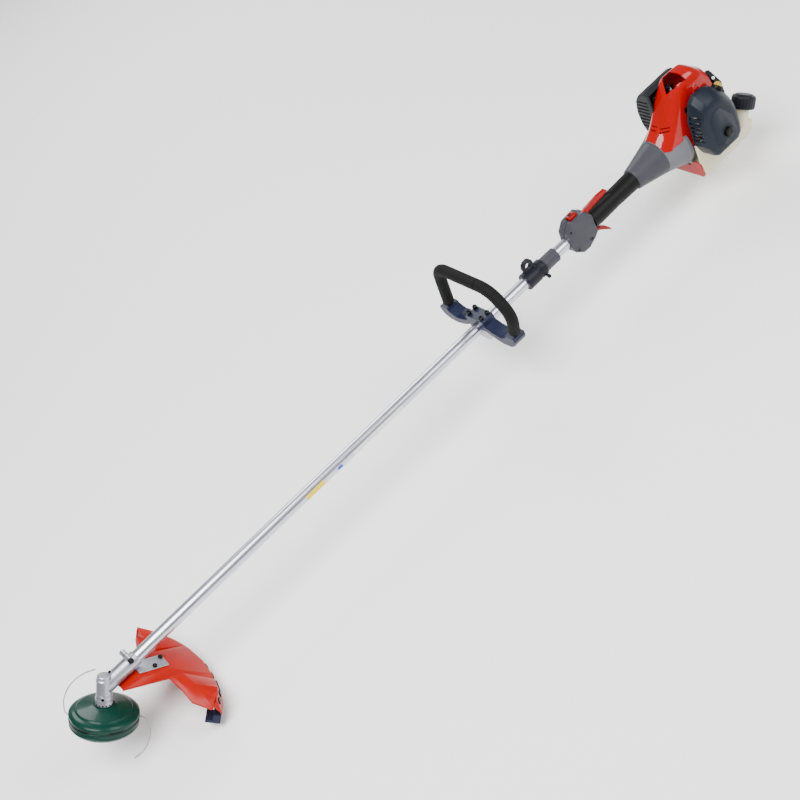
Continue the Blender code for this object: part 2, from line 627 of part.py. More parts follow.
# --- Clutch and engine ---------------------------------------------------------------------------
def drive_end(shaft):
    """What turns, from the clutch drum on the drive shaft to the crankshaft, inside its two housings."""
    part("clutch_housing", along_x(lathe([
        (TUBE_R + 0.3, GRIP_END), (22.5, GRIP_END), (24.5, GRIP_END + 3), (39, CLUTCH_END - 1.5), (39.5, CLUTCH_END),
        (36.5, CLUTCH_END), (36, CLUTCH_END - 2), (25, GRIP_END + 30), (25, GRIP_END + 18),
        (TUBE_R + 0.3, GRIP_END + 18),
    ], 28)), HOUSING_GREY, shaft)
    part("fan_housing", along_x(lathe([
        (37, CLUTCH_END + 0.4), (40, CLUTCH_END + 0.4), (54, FAN_END - 10), (56.5, FAN_END - 9), (56.5, FAN_END),
        (53, FAN_END), (51, FAN_END - 10),
    ], 32)), LIGHT_GREY, shaft)
    part("clutch_drum", along_x(lathe([
        (DRIVE_R + 0.4, 1502), (7, 1502), (7, 1506), (28.5, 1506), (28.5, 1528), (26, 1528), (26, 1509),
        (DRIVE_R + 0.4, 1509),
    ])), STEEL, shaft)
    part("clutch_shoes", along_x(lathe([
        (0, 1511), (10, 1511), (10, 1513), (24.5, 1513), (24.5, 1525), (10, 1525), (10, 1531), (0, 1531),
    ])), BLACK_STEEL, shaft)
    part("flywheel", along_x(lathe([
        (0, 1531.4), (14, 1531.4), (14, 1549), (43, 1553), (43, 1563), (14, 1563), (14, 1566), (0, 1566),
    ], 28)), ALLOY, shaft)
    part("crankshaft", along_x(lathe([
        (0, 1566.4), (6, 1566.4), (6, 1594), (22, 1594), (22, 1603), (7, 1603), (7, 1619), (22, 1619), (22, 1628),
        (6, 1628), (6, 1700), (0, 1700),
    ])), STEEL, shaft)
    case = part("crankcase", block((CASE_U[0], -34, -32), (CASE_U[1], 30, CASE_TOP_W), 3), ALLOY, shaft)
    cut(case, rod_along_shaft(8, 1500, 1700, 20), rod_along_shaft(24, 1591, 1631, 28))


def cylinder_set(shaft):
    """The cylinder is one finned outline drawn out across the shaft; the piston is not shown."""
    core, reach = 19, 25
    right = [(core, CYLINDER_TOP)]
    for i in range(7):
        w = CYLINDER_TOP - 4 - 8 * i
        right += [(core, w), (reach, w), (reach, w - 2.4), (core, w - 2.4)]
    right.append((core, CASE_TOP_W + 0.4))
    outline = [(CYLINDER_U + a, w) for a, w in right] + [(CYLINDER_U - a, w) for a, w in right[::-1]]
    part("cylinder", prism(outline, -25, 21), ALLOY, shaft, flat=True)
    boot = lathe([(0, 0.4), (8.5, 0.4), (8.5, 4), (6, 5), (6, 16), (8, 18), (8, 25), (6, 27), (0, 27)], 16)
    part("spark_plug_boot", moved(boot, Matrix.Translation((CYLINDER_U, 10, CYLINDER_TOP))), BLACK_PLASTIC, shaft)
    part("muffler", block((1594, 27, 36), (1640, 51, 88), 4), STEEL, shaft)


def shroud_set(shaft):
    """The gloss shroud is a lofted shell over the engine, open at its back and below."""
    outer = [
        (CLUTCH_END + 0.6, 43.4, 43.2, 2.0), (1542, 46, 62, 2.2), (1566, 50, 94, 2.6), (1588, 50.5, 121, 3.0),
        (1600, 50, 134, 3.2), (1611, 49, SHROUD_TOP, 3.4), (1650, 49, SHROUD_TOP - 2, 3.4),
        (SHROUD_BACK, 48, 112, 3.2),
    ]
    skin = 2.6
    inner = [(u + (2.0 if 1530 < u < 1605 else 0.0), h - skin, t - skin, n) for u, h, t, n in outer]
    shroud = part("engine_shroud", shell([arch(*s) for s in outer], [arch(*s) for s in inner]), GLOSS_RED, shaft)
    recess = prism([(1586, -19), (1600, -31), (1632, -35), (1627, 3), (1606, 3)], 100, 150, "XY")
    below = prism([(1510, 25), (1520, 23), (1568, 4), (1590, -9), (1590, -60), (1510, -60)], -80, 80)
    cut(
        shroud, along_x(lathe(FAN_CLEARANCE, 32)), below, recess,
        block((1590, 20, 26), (1644, 60, 93)),
        block((1594, -60, 2), (1664, -40, 80)),
        *[block((1515, v - 9, w), (1560, v + 9, w + 2.6)) for v, w in ((-25, 53), (-25, 59), (0, 56), (0, 62))],
    )

    wrap = [(6, 22), (50, 24), (57, 42), (59, 72), (51, 104), (39, 120), (24, 127), (6, 127)]
    within = [(16, 25), (48.5, 27), (54, 43.5), (56, 71), (48.5, 102), (37.5, 117), (23, 124), (-4, 124)]
    guard = part("muffler_guard", prism(wrap, 1560, 1652, "YZ", bevel=2.5), HOUSING_GREY, shaft)
    grown = loft([arch(u, h + 0.8, t + 0.8, n, -12) for u, h, t, n in outer])
    bmesh.ops.triangulate(grown, faces=grown.faces[:])
    cut(
        guard,
        prism(within, 1563, 1649, "YZ"),
        grown, along_x(lathe(FAN_CLEARANCE, 32)),
        *[block((1572, 28 + 7 * i, 96), (1642, 31.5 + 7 * i, 140)) for i in range(3)],
        *[block((1550, 24 - 1.2 * i, 40 + 9 * i), (1570, 53, 43.5 + 9 * i)) for i in range(8)],
    )


def intake(shaft):
    """Carburettor, filter and the slate cover on the near side, with the primer bulb, choke lever and cover knob."""
    base = [
        (1577, 4), (1590, -26), (1600, -34), (1672, -35), (1686, -24), (1690, -2), (1690, 44), (1681, 62), (1654, 98),
        (1638, 106), (1608, 108), (1594, 98), (1578, 62),
    ]
    centre = Vector((1634, 24))

    def outline(v, scale, shift=(0, 0)):
        scaled = [centre + (Vector(p) - centre) * scale + Vector(shift) for p in base]
        return [(p.x, v, p.y) for p in scaled]

    cover = part(
        "filter_cover",
        loft([outline(FILTER_V, 1), outline(-72, 0.995), outline(-92, 0.9, (-4, -5)), outline(-98.5, 0.82, (-6, -7)),
              outline(COVER_V, 0.72, (-7, -8))]),
        SLATE, shaft,
    )
    cut(
        cover,
        loft([outline(FILTER_V + 5, 0.94), outline(-72, 0.935), outline(-91, 0.84, (-4, -5)),
              outline(-98, 0.7, (-6, -7))]),
        *[block((1560, -93, 68 - 10.5 * i), (1592, -67, 73.5 - 10.5 * i)) for i in range(6)],
        along_y(rod(4, -120, -90, 16), 1636, 0, 4),
    )
    part("carburettor", block((1604, -61, 22), (1644, -34, 62), 2), ALLOY, shaft)
    part("filter_element", block((1604, -86, -12), (1668, -64, 60), 3), FOAM_GREEN, shaft)
    part("cover_knob", along_y(lathe([
        (0, -109), (9, -109), (10.5, -107.5), (10.5, -101.6), (3.6, -101.6), (3.6, -91), (0, -91),
    ], 20), 1636, 0, 4), BLACK_PLASTIC, shaft, at=(1636, -104, 4))
    normal = Matrix.Translation(PRIMER_AT) @ Matrix.Rotation(atan2(36, 27), 4, "Y")
    base = lathe([(0, 0), (12, 0), (12, 5.5), (10.6, 7), (9, 7), (9, 1.6), (0, 1.6)], 20)
    part("primer_base", moved(base, normal), BLACK_PLASTIC, shaft)
    bulb = lathe([(0, 5), (8.6, 5), (8.6, 8), (8, 11.5), (5, 14.8), (0, 15.8)], 20)
    part("primer_bulb", moved(bulb, normal), BULB, shaft, at=PRIMER_AT)
    lever = [(1622, 66), (1630, 66), (1630, 104), (1636, 116), (1632, 121), (1622, 116), (1618, 104)]
    part("choke_lever", prism(lever, -60.5, -56.5, bevel=0.8), CONTROL_RED, shaft, at=(1626, -58.5, 74))


def starter(shaft):
    """The recoil starter closes the engine's back; its handle stands above it on the cord's end."""
    low, high = STARTER_U
    housing = part("starter_housing", along_x(lathe([
        (9, low), (46, low), (46, high - 8), (40, high), (0, high), (0, high - 3), (38, high - 3), (42, high - 9),
        (42, low + 3), (9, low + 3),
    ], 24)), CHARCOAL, shaft)
    joined(housing, block((low + 5, -40, 30), (high - 5, -14, 50), 2))
    tip = Vector((low + 15, -27, 50.4))
    cut(housing, moved(rod(2.4, 30, 70, 10), Matrix.Translation((tip.x, tip.y, 0))))
    bar = Matrix.Translation(tip + Vector((0, 0, 19))) @ Matrix.Rotation(radians(-48), 4, "X")
    stem = lathe([(0, 0), (5, 0), (7, 4), (7, 17), (0, 17)], 14)
    grip = part("pull_handle", moved(stem, Matrix.Translation(tip)), BLACK_PLASTIC, shaft, at=tip)
    joined(grip, moved(rod(8.0, -22, 22, 14, 4), bar), moved(rod(1.4, -6, 3, 10), Matrix.Translation(tip)))


def fuel_tank(shaft):
    """The tank hangs under the crankcase; its neck leans back so that it stands upright when the tool is worked."""
    floor, front, back = TANK_FOOT, TANK_FRONT + 2, TANK_BACK
    outline = [
        (front, TANK_TOP), (front, floor + 4), (front + 4, floor), (back - 12, floor), (back + 2, floor + 10),
        (back + 9, TANK_TOP - 4), (back + 5, TANK_TOP),
    ]
    inside = [
        (front + 3, TANK_TOP - 3), (front + 3, floor + 3), (back - 12, floor + 3), (back + 3, TANK_TOP - 6),
        (back, TANK_TOP - 3),
    ]
    neck = Matrix.Translation(CAP_CENTRE) @ Matrix.Rotation(SPINDLE_TILT, 4, "Y")
    tank = part("fuel_tank", prism(outline, -61, 46, bevel=2.5), CREAM, shaft)
    joined(tank, block((front, -61, -60), (1632, -53.5, -4), 1.5),
           moved(rod(15, -58, 8, 20), neck))
    cut(tank, prism(inside, -58, 43), moved(rod(12, -50, 20, 16), neck))
    cap = lathe([
        (0, -12), (11.4, -12), (11.4, 9), (15.6, 9), (15.6, -12), (24.5, -12), (25.5, -9), (25.5, 12), (23, 16),
        (17, 18), (0, 18),
    ], 28)
    part("fuel_cap", moved(cap, neck), CHARCOAL, shaft, at=CAP_CENTRE)
    skirt = [
        (-59, -52), (-60, -79), (-55, -83.5), (32, -83.5), (38, -78), (42, -44), (26, -58), (-26, -58), (-44, -44),
    ]
    part("tank_guard", prism(skirt, FAN_END + 0.6, front - 0.6, "YZ"), GLOSS_RED, shaft)


def build():
    for obj in list(bpy.data.objects):
        bpy.data.objects.remove(obj, do_unlink=True)
    shaft = axis_empty("shaft_axis", (SPINDLE_X, SHAFT_Y, SHAFT_HEIGHT))
    spindle = axis_empty("spindle_axis", (0, 0, 0), (0, SPINDLE_TILT, 0), shaft)
    gear_head(shaft, spindle)
    trimmer_head(spindle)
    cutting_lines(spindle)
    guard_set(spindle)
    loop_handle(shaft)
    harness_clamp(shaft)
    throttle(shaft)
    drive_end(shaft)
    cylinder_set(shaft)
    shroud_set(shaft)
    intake(shaft)
    starter(shaft)
    fuel_tank(shaft)


build()
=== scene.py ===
"""Looks of a petrol brush cutter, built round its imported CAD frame.

Two places carry every new piece. The bench's `shaft` has X along the shaft towards the engine, Y to the
muffler side and Z up through the cylinder. Its `spindle` stands where the spindle crosses the shaft, tilted so
that its Z runs up the cutting head's axis. Both are worked out from the frame. Sizes below are millimetres; a
place turns them into metres.
"""

from __future__ import annotations

import json
import logging
from dataclasses import dataclass, field
from enum import Enum
from typing import Callable, Iterable, Optional, Sequence

import bmesh
import bpy
import numpy as np
from mathutils import Matrix, Vector

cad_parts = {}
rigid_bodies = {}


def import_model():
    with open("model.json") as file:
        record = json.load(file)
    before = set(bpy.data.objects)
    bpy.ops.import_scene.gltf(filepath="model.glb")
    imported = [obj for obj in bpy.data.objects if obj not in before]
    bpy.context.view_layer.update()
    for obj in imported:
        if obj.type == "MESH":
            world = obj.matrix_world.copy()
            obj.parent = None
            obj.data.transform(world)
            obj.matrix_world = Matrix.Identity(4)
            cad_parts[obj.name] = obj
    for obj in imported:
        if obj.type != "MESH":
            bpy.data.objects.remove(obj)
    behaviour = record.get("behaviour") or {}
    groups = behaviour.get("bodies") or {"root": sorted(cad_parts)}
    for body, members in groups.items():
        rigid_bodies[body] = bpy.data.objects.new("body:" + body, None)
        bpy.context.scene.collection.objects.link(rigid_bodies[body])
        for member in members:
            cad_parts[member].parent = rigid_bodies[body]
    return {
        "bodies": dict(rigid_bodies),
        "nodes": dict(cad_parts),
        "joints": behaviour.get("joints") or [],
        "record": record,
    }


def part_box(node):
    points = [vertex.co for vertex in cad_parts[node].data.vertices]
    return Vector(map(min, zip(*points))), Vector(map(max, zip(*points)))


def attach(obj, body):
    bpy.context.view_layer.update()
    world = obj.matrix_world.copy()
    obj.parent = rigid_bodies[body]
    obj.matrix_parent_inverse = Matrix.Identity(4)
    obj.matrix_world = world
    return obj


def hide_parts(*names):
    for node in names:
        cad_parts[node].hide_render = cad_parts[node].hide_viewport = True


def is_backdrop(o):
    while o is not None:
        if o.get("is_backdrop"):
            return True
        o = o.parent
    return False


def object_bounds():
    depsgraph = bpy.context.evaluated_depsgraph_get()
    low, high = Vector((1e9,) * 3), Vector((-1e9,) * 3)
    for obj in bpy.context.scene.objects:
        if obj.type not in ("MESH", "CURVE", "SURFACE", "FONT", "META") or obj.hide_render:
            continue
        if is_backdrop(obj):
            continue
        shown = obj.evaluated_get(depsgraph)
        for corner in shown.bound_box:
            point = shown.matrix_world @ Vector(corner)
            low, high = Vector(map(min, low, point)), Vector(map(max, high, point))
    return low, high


LOG = logging.getLogger("brush_cutter")
MM = 0.001
TUBE_START = 47.5  # from the spindle's axis to the tube's lower end
SPINDLE_TILT = np.radians(35.0)
SMOOTH_ANGLE = np.radians(38.0)
BEVEL_ANGLE = np.radians(32.0)
METAL_SPECULAR = 0.5
PLASTIC_SPECULAR = 0.16  # below the usual level, because wide soft lights veil dark mouldings
COAT_ROUGHNESS = 0.04
LIGHT_DEPTH = (0.012, 0.008, 0.004)  # metres that red, green and blue light sink into soft plastic

Pair = tuple[float, float]
Shaper = Callable[[np.ndarray, np.ndarray, np.ndarray], np.ndarray]


# --- Finishes ------------------------------------------------------------------------------------
class Surface(Enum):
    """How a surface was made, which settles the pattern that its bump follows."""

    MOULDED = "spark-eroded mould grain"
    POLISHED = "polished mould"
    CAST = "pressure cast and blasted"
    DRAWN = "drawn and anodised"
    TURNED = "turned"
    FOAMED = "closed-cell foam"


@dataclass(frozen=True)
class Finish:
    """One real material with its process: what it is called, its colours, and how rough and grainy it is.

    `grain_mm` is the size of the fine texture, `relief_mm` its height, and `patch_mm` the size of the slow
    change from `colour` to `second`.
    """

    name: str
    colour: str
    second: str
    roughness: float
    surface: Surface
    grain_mm: float = 0.6
    relief_mm: float = 0.02
    patch_mm: float = 60.0
    metallic: float = 0.0
    ior: float = 1.5
    coat: float = 0.0
    transmission: float = 0.0
    subsurface: float = 0.0
    spread: float = 0.08


# Anodised aluminium tube: a cool satin shine, with faint lines from the drawing die along it.
TUBE_ALLOY = Finish("anodised_drawn_aluminium", "#CFCFDA", "#BDBDCC", 0.3, Surface.DRAWN, 0.5, 0.006, 90, 1.0)
# Pressure-cast aluminium, tumbled: a soft grey sparkle with a slight orange peel.
CAST_ALLOY = Finish("tumbled_cast_aluminium", "#B9B9C2", "#9C9CA8", 0.4, Surface.CAST, 1.1, 0.05, 25, 0.9)
# Steel left as turned: bright rings round the axis.
TURNED_STEEL = Finish("turned_steel", "#B4B6BA", "#94969A", 0.28, Surface.TURNED, 0.5, 0.008, 30, 1.0)
# Chemically blackened screws: nearly black, with a soft metallic edge.
# Also paints shade: the dark box in the neck's slit and the dark discs of the flange's holes.
BLACK_OXIDE = Finish("blackened_steel", "#141517", "#0C0D0E", 0.36, Surface.TURNED, 0.6, 0.01, 12, 0.75)
# Shield in tough polypropylene: orange-red, slightly waxy, with a fine mould grain.
GUARD_PP = Finish(
    "moulded_polypropylene_orange_red", "#A30E00", "#8E0900", 0.36, Surface.MOULDED, 0.9, 0.012, 70,
    subsurface=0.04,
)
# Engine shroud in polished ABS: wet-looking signal red.
SHROUD_ABS = Finish(
    "polished_abs_red", "#A00000", "#930000", 0.12, Surface.POLISHED, 9.0, 0.02, 80, coat=0.45
)
# Levers and switches in red acetal: saturated, half gloss.
CONTROL_POM = Finish(
    "moulded_acetal_red", "#8E0000", "#800000", 0.26, Surface.POLISHED, 4.0, 0.01, 20, coat=0.15
)
# Cutting head in glass-filled nylon, dyed through: deep bottle green, half gloss, a little cloudy.
HEAD_PA = Finish(
    "glass_filled_nylon_green", "#033228", "#022A22", 0.3, Surface.MOULDED, 1.2, 0.015, 26, coat=0.12
)
# Black polyamide mouldings: dark, with a fine grain that breaks the shine.
# Also paints the shade in the head's windows.
BLACK_PA = Finish("moulded_nylon_black", "#0B0B0D", "#070708", 0.42, Surface.MOULDED, 0.8, 0.02, 30)
# Harness clamp and caps: charcoal, a touch bluer.
CHARCOAL_PA = Finish("moulded_nylon_charcoal", "#1A1C24", "#13151B", 0.4, Surface.MOULDED, 0.9, 0.02, 35)
# Handle sleeves in closed-cell rubber foam: matt, pitted, soft at its rim.
GRIP_FOAM = Finish("closed_cell_foam_black", "#121213", "#0B0B0C", 0.78, Surface.FOAMED, 0.9, 0.12, 30)
# Rear grip in thermoplastic rubber: black and dull.
GRIP_TPE = Finish("thermoplastic_rubber_black", "#08080A", "#050506", 0.5, Surface.MOULDED, 1.0, 0.03, 40)
# Filter cover in filled nylon: dark slate blue, fine matt grain.
SLATE_PA = Finish("moulded_nylon_slate", "#171E29", "#121822", 0.4, Surface.MOULDED, 0.8, 0.02, 45)
# Handle bracket in the same nylon, a shade bluer.
BRACKET_PA = Finish("moulded_nylon_slate_blue", "#20243A", "#1A1E31", 0.36, Surface.MOULDED, 0.9, 0.02, 30)
# Housings in mid grey nylon: even and matt.
GREY_PA = Finish("moulded_nylon_grey", "#3E3E44", "#36363C", 0.42, Surface.MOULDED, 0.9, 0.025, 40)
# Fan housing's rim: the same nylon undyed lighter.
LIGHT_GREY_PA = Finish(
    "moulded_nylon_light_grey", "#68686E", "#5D5D63", 0.42, Surface.MOULDED, 0.9, 0.025, 40
)
# Muffler guard in dark glass-filled nylon.
DARK_GREY_PA = Finish(
    "glass_filled_nylon_dark_grey", "#1E2024", "#16181B", 0.46, Surface.MOULDED, 1.1, 0.03, 40
)
# Fuel tank in blown polyethylene: milky cream that light sinks into.
TANK_PE = Finish(
    "blown_polyethylene_cream", "#DCD5BC", "#CFC6A8", 0.3, Surface.POLISHED, 6.0, 0.03, 55, subsurface=0.25
)
# Filter foam: open cells, oiled green.
FILTER_FOAM = Finish("oiled_filter_foam", "#4A5E3A", "#38482C", 0.9, Surface.FOAMED, 1.6, 0.3, 20)
# Primer dome in clear urethane, tinted yellow.
BULB_PU = Finish(
    "clear_urethane_yellow", "#E3C44C", "#D2AE30", 0.1, Surface.POLISHED, 5.0, 0.01, 8, transmission=0.55
)
# Cutting line in extruded nylon: pale grey, slightly see-through.
LINE_PA = Finish(
    "extruded_nylon_line", "#A9A9A6", "#979792", 0.3, Surface.POLISHED, 2.0, 0.01, 15, transmission=0.2
)
# Printed vinyl film, plain.
FILM_WHITE = Finish("vinyl_film_white", "#ECECEE", "#E2E2E6", 0.35, Surface.POLISHED, 6.0, 0.005, 40)
FILM_YELLOW = Finish("vinyl_film_yellow", "#F2D21C", "#E8C610", 0.35, Surface.POLISHED, 6.0, 0.005, 40)
FILM_BLUE = Finish("vinyl_film_blue", "#2B59B8", "#2450A8", 0.35, Surface.POLISHED, 6.0, 0.005, 40)


def linear(colour: str) -> tuple[float, float, float, float]:
    """Turn an sRGB hex colour into linear red, green, blue and alpha."""
    parts = np.array([int(colour[i : i + 2], 16) for i in (1, 3, 5)]) / 255
    flat = np.where(parts <= 0.04045, parts / 12.92, ((parts + 0.055) / 1.055) ** 2.4)
    return (*(float(c) for c in flat), 1.0)


def add_node(tree: bpy.types.NodeTree, kind: str, links: Optional[dict] = None, **settings) -> bpy.types.Node:
    """Add one shader node.

    Args:
        tree: the material's node tree.
        kind: the node's type name.
        links: input name to a value, or to the output socket that feeds it.
        settings: attributes of the node itself.

    Returns:
        The node, linked.
    """
    node = tree.nodes.new(kind)
    for key, value in settings.items():
        setattr(node, key, value)
    for key, value in (links or {}).items():
        if isinstance(value, bpy.types.NodeSocket):
            tree.links.new(value, node.inputs[key])
        else:
            node.inputs[key].default_value = value
    return node


class Paintbox:
    """Makes each finish's material once and hands it out again."""

    def __init__(self) -> None:
        """Start with no material made."""
        self._made: dict[str, bpy.types.Material] = {}

    def material(self, finish: Finish) -> bpy.types.Material:
        """Give the finish's material, making it the first time."""
        if finish.name not in self._made:
            self._made[finish.name] = self._make(finish)
        return self._made[finish.name]

    def _make(self, finish: Finish) -> bpy.types.Material:
        """Mix two colours in slow patches, let the roughness wander, and add the surface's own relief."""
        made = bpy.data.materials.new(finish.name)
        made.use_nodes = True
        tree = made.node_tree
        shader = tree.nodes["Principled BSDF"]
        place = add_node(tree, "ShaderNodeTexCoord").outputs["Object"]
        patch = add_node(
            tree, "ShaderNodeTexNoise", {"Vector": place, "Scale": 1000 / finish.patch_mm, "Detail": 3.0}
        ).outputs["Fac"]
        colour = add_node(
            tree,
            "ShaderNodeMix",
            {"Factor": patch, 6: linear(finish.colour), 7: linear(finish.second)},
            data_type="RGBA",
        ).outputs[2]
        relief = self._relief(tree, finish, place)
        rough = add_node(tree, "ShaderNodeMapRange", {
            "Value": relief,
            "From Min": 0.25,
            "From Max": 0.75,
            "To Min": max(finish.roughness - finish.spread, 0.03),
            "To Max": finish.roughness + finish.spread,
        }).outputs["Result"]
        bump = add_node(tree, "ShaderNodeBump", {
            "Height": relief, "Distance": finish.relief_mm * MM, "Strength": 1.0,
        }).outputs["Normal"]
        tree.links.new(colour, shader.inputs["Base Color"])
        tree.links.new(rough, shader.inputs["Roughness"])
        tree.links.new(bump, shader.inputs["Normal"])
        shader.inputs["Metallic"].default_value = finish.metallic
        shader.inputs["IOR"].default_value = finish.ior
        shader.inputs["Specular IOR Level"].default_value = (
            METAL_SPECULAR if finish.metallic > 0.5 else PLASTIC_SPECULAR
        )
        shader.inputs["Coat Weight"].default_value = finish.coat
        shader.inputs["Coat Roughness"].default_value = COAT_ROUGHNESS
        shader.inputs["Transmission Weight"].default_value = finish.transmission
        shader.inputs["Subsurface Weight"].default_value = finish.subsurface
        shader.inputs["Subsurface Radius"].default_value = LIGHT_DEPTH
        made.diffuse_color = linear(finish.colour)
        return made

    @staticmethod
    def _relief(
        tree: bpy.types.NodeTree, finish: Finish, place: bpy.types.NodeSocket
    ) -> bpy.types.NodeSocket:
        """The texture's height: cells for foam, stretched noise for drawn and turned metal, else noise."""
        stretch = {
            Surface.DRAWN: (0.01, 1.0, 1.0),
            Surface.TURNED: (1.0, 1.0, 6.0),
        }.get(finish.surface, (1.0, 1.0, 1.0))
        fitted = add_node(tree, "ShaderNodeMapping", {"Vector": place, "Scale": stretch}).outputs["Vector"]
        scale = 1000 / finish.grain_mm
        if finish.surface is Surface.FOAMED:
            cells = add_node(tree, "ShaderNodeTexVoronoi", {"Vector": fitted, "Scale": scale})
            return cells.outputs["Distance"]
        detail = 4.0 if finish.surface in (Surface.CAST, Surface.MOULDED) else 2.0
        return add_node(
            tree, "ShaderNodeTexNoise", {"Vector": fitted, "Scale": scale, "Detail": detail}
        ).outputs["Fac"]


# --- Surfaces ------------------------------------------------------------------------------------
def rounded(points: Sequence[Pair], radius: float, steps: int = 5, closed: bool = False) -> np.ndarray:
    """Round an outline's corners.

    Each corner becomes the quadratic curve from `radius` before it to `radius` after it, or from nearly
    halfway along a shorter side.

    Args:
        points: the outline's corners, in order.
        radius: how far from a corner its curve starts.
        steps: points on each curve.
        closed: whether the last corner joins the first.

    Returns:
        The points of the new outline, one row each.
    """
    here = np.array(points, float)
    before, after = np.roll(here, 1, 0), np.roll(here, -1, 0)
    back, on = before - here, after - here
    back_length = np.linalg.norm(back, axis=1, keepdims=True)
    on_length = np.linalg.norm(on, axis=1, keepdims=True)
    reach = np.minimum(radius, 0.48 * np.minimum(back_length, on_length))
    start, end = here + back / back_length * reach, here + on / on_length * reach
    t = np.linspace(0, 1, steps)[None, :, None]
    curve = start[:, None] * (1 - t) ** 2 + here[:, None] * 2 * t * (1 - t) + end[:, None] * t**2
    if closed:
        return curve.reshape(-1, 2)
    return np.vstack([here[:1], curve[1:-1].reshape(-1, 2), here[-1:]])


def apply(place: Matrix, points: np.ndarray) -> np.ndarray:
    """Carry points, in millimetres, through a place's matrix."""
    matrix = np.array(place)
    return points @ matrix[:3, :3].T + matrix[:3, 3]


def add_object(name: str, data: bpy.types.ID) -> bpy.types.Object:
    """Make an object from its data and link it to the scene."""
    made = bpy.data.objects.new(name, data)
    bpy.context.scene.collection.objects.link(made)
    return made


def new_piece(name: str, points: np.ndarray, faces: list, finish: Finish, box: Paintbox) -> bpy.types.Object:
    """Make an object from points and faces, merge its doubles, turn its faces out and dress it."""
    mesh = bpy.data.meshes.new(name)
    mesh.from_pydata(points.tolist(), [], faces)
    clean = bmesh.new()
    clean.from_mesh(mesh)
    bmesh.ops.remove_doubles(clean, verts=clean.verts, dist=1e-6)
    bmesh.ops.recalc_face_normals(clean, faces=clean.faces)
    clean.to_mesh(mesh)
    clean.free()
    piece = add_object(name, mesh)
    mesh.materials.append(box.material(finish))
    soften(piece)
    return piece


def soften(piece: bpy.types.Object) -> None:
    """Shade a piece smooth, but keep its real edges sharp."""
    piece.data.shade_smooth()
    piece.data.set_sharp_from_angle(angle=SMOOTH_ANGLE)


def grid_faces(rows: int, columns: int, wrap: bool, ends: bool) -> list:
    """Faces of a grid of points, row after row.

    Args:
        rows: rows of points.
        columns: points in each row.
        wrap: whether each row closes on itself.
        ends: whether the first and last rows are filled.

    Returns:
        Lists of point numbers.
    """
    index = np.arange(rows * columns).reshape(rows, columns)
    beside = np.roll(index, -1, 1)
    if not wrap:
        index, beside = index[:, :-1], beside[:, :-1]
    quads = np.stack([index[:-1], beside[:-1], beside[1:], index[1:]], -1).reshape(-1, 4).tolist()
    if ends:
        quads += [index[0][::-1].tolist(), index[-1].tolist()]
    return quads


def revolved(profile: np.ndarray, steps: int, place: Matrix, shaper: Optional[Shaper] = None) -> tuple:
    """Turn a profile about Z: x = r cos a, y = r sin a, z = z.

    Args:
        profile: rows of radius and height.
        steps: points round the turn.
        place: where the local frame stands.
        shaper: gives a new radius from radius, angle and height, for flutes and flats.

    Returns:
        Points and faces, closed where the profile meets the axis or itself.
    """
    angle = np.linspace(0, 2 * np.pi, steps, endpoint=False)[None, :]
    radius, height = profile[:, :1] + 0 * angle, profile[:, 1:] + 0 * angle
    if shaper is not None:
        radius = shaper(radius, angle, height)
    points = np.stack([radius * np.cos(angle), radius * np.sin(angle), height], -1).reshape(-1, 3)
    open_ring = profile[0, 0] > 1e-6 and profile[-1, 0] > 1e-6
    faces = grid_faces(len(profile), steps, True, False)
    if open_ring:
        last = (len(profile) - 1) * steps
        turn = np.arange(steps)
        on = (turn + 1) % steps
        faces += np.stack([last + turn, last + on, on, turn], -1).tolist()
    return apply(place, points), faces


def curved_sheet(
    place: Matrix, radius: float, turn: tuple[float, float], reach: tuple[float, float], skin: float = 0.15
) -> tuple:
    """A thin plate bent round an axis, between two angles and two heights.

    Its faces are x = r cos a, y = r sin a, with r = radius + skin outside and r = radius inside.

    Args:
        place: where its axis lies.
        radius: of its inner face.
        turn: its two edges, in degrees round the axis.
        reach: its two ends along the axis.
        skin: its thickness.

    Returns:
        Points and faces.
    """
    rows, columns = 7, 25
    angle = np.radians(np.linspace(*turn, columns))[None, :]
    height = np.linspace(*reach, rows)[:, None]
    count = angle.size * height.size
    sheets = [
        np.stack([r * np.cos(angle) + 0 * height, r * np.sin(angle) + 0 * height, height + 0 * angle], -1)
        for r in (radius + skin, radius)
    ]
    faces = grid_faces(rows, columns, False, False)
    faces += [[i + count for i in quad[::-1]] for quad in faces]
    index = np.arange(count).reshape(rows, columns)
    rim = np.concatenate([index[0], index[1:, -1], index[-1, -2::-1], index[-2:0:-1, 0]])
    ahead = np.roll(rim, -1)
    faces += np.stack([rim, rim + count, ahead + count, ahead], -1).tolist()
    return apply(place, np.concatenate([sheet.reshape(-1, 3) for sheet in sheets])), faces


def tube(path: np.ndarray, radii: np.ndarray, across: Vector, steps: int, place: Matrix) -> tuple:
    """Carry a circle along a flat path: point = path + r (cos a side + sin a across).

    Args:
        path: points in millimetres, one row each, in a plane.
        radii: the circle's radius at each point.
        across: the plane's normal.
        steps: points round the circle.
        place: where the path's frame stands.

    Returns:
        Points and faces, with both ends filled.
    """
    tangent = np.gradient(path, axis=0)
    tangent /= np.linalg.norm(tangent, axis=1, keepdims=True)
    normal = np.array(across)
    side = np.cross(tangent, normal)
    angle = np.linspace(0, 2 * np.pi, steps, endpoint=False)[None, :, None]
    ring = np.cos(angle) * side[:, None] + np.sin(angle) * normal
    points = path[:, None] + radii[:, None, None] * ring
    return apply(place, points.reshape(-1, 3)), grid_faces(len(path), steps, True, True)


def extruded(outline: np.ndarray, low: float, high: float, place: Matrix) -> tuple:
    """Extrude an outline in X and Y from one height to another."""
    count = len(outline)
    points = np.vstack([np.column_stack([outline, np.full(count, z)]) for z in (low, high)])
    return apply(place, points), grid_faces(2, count, True, True)


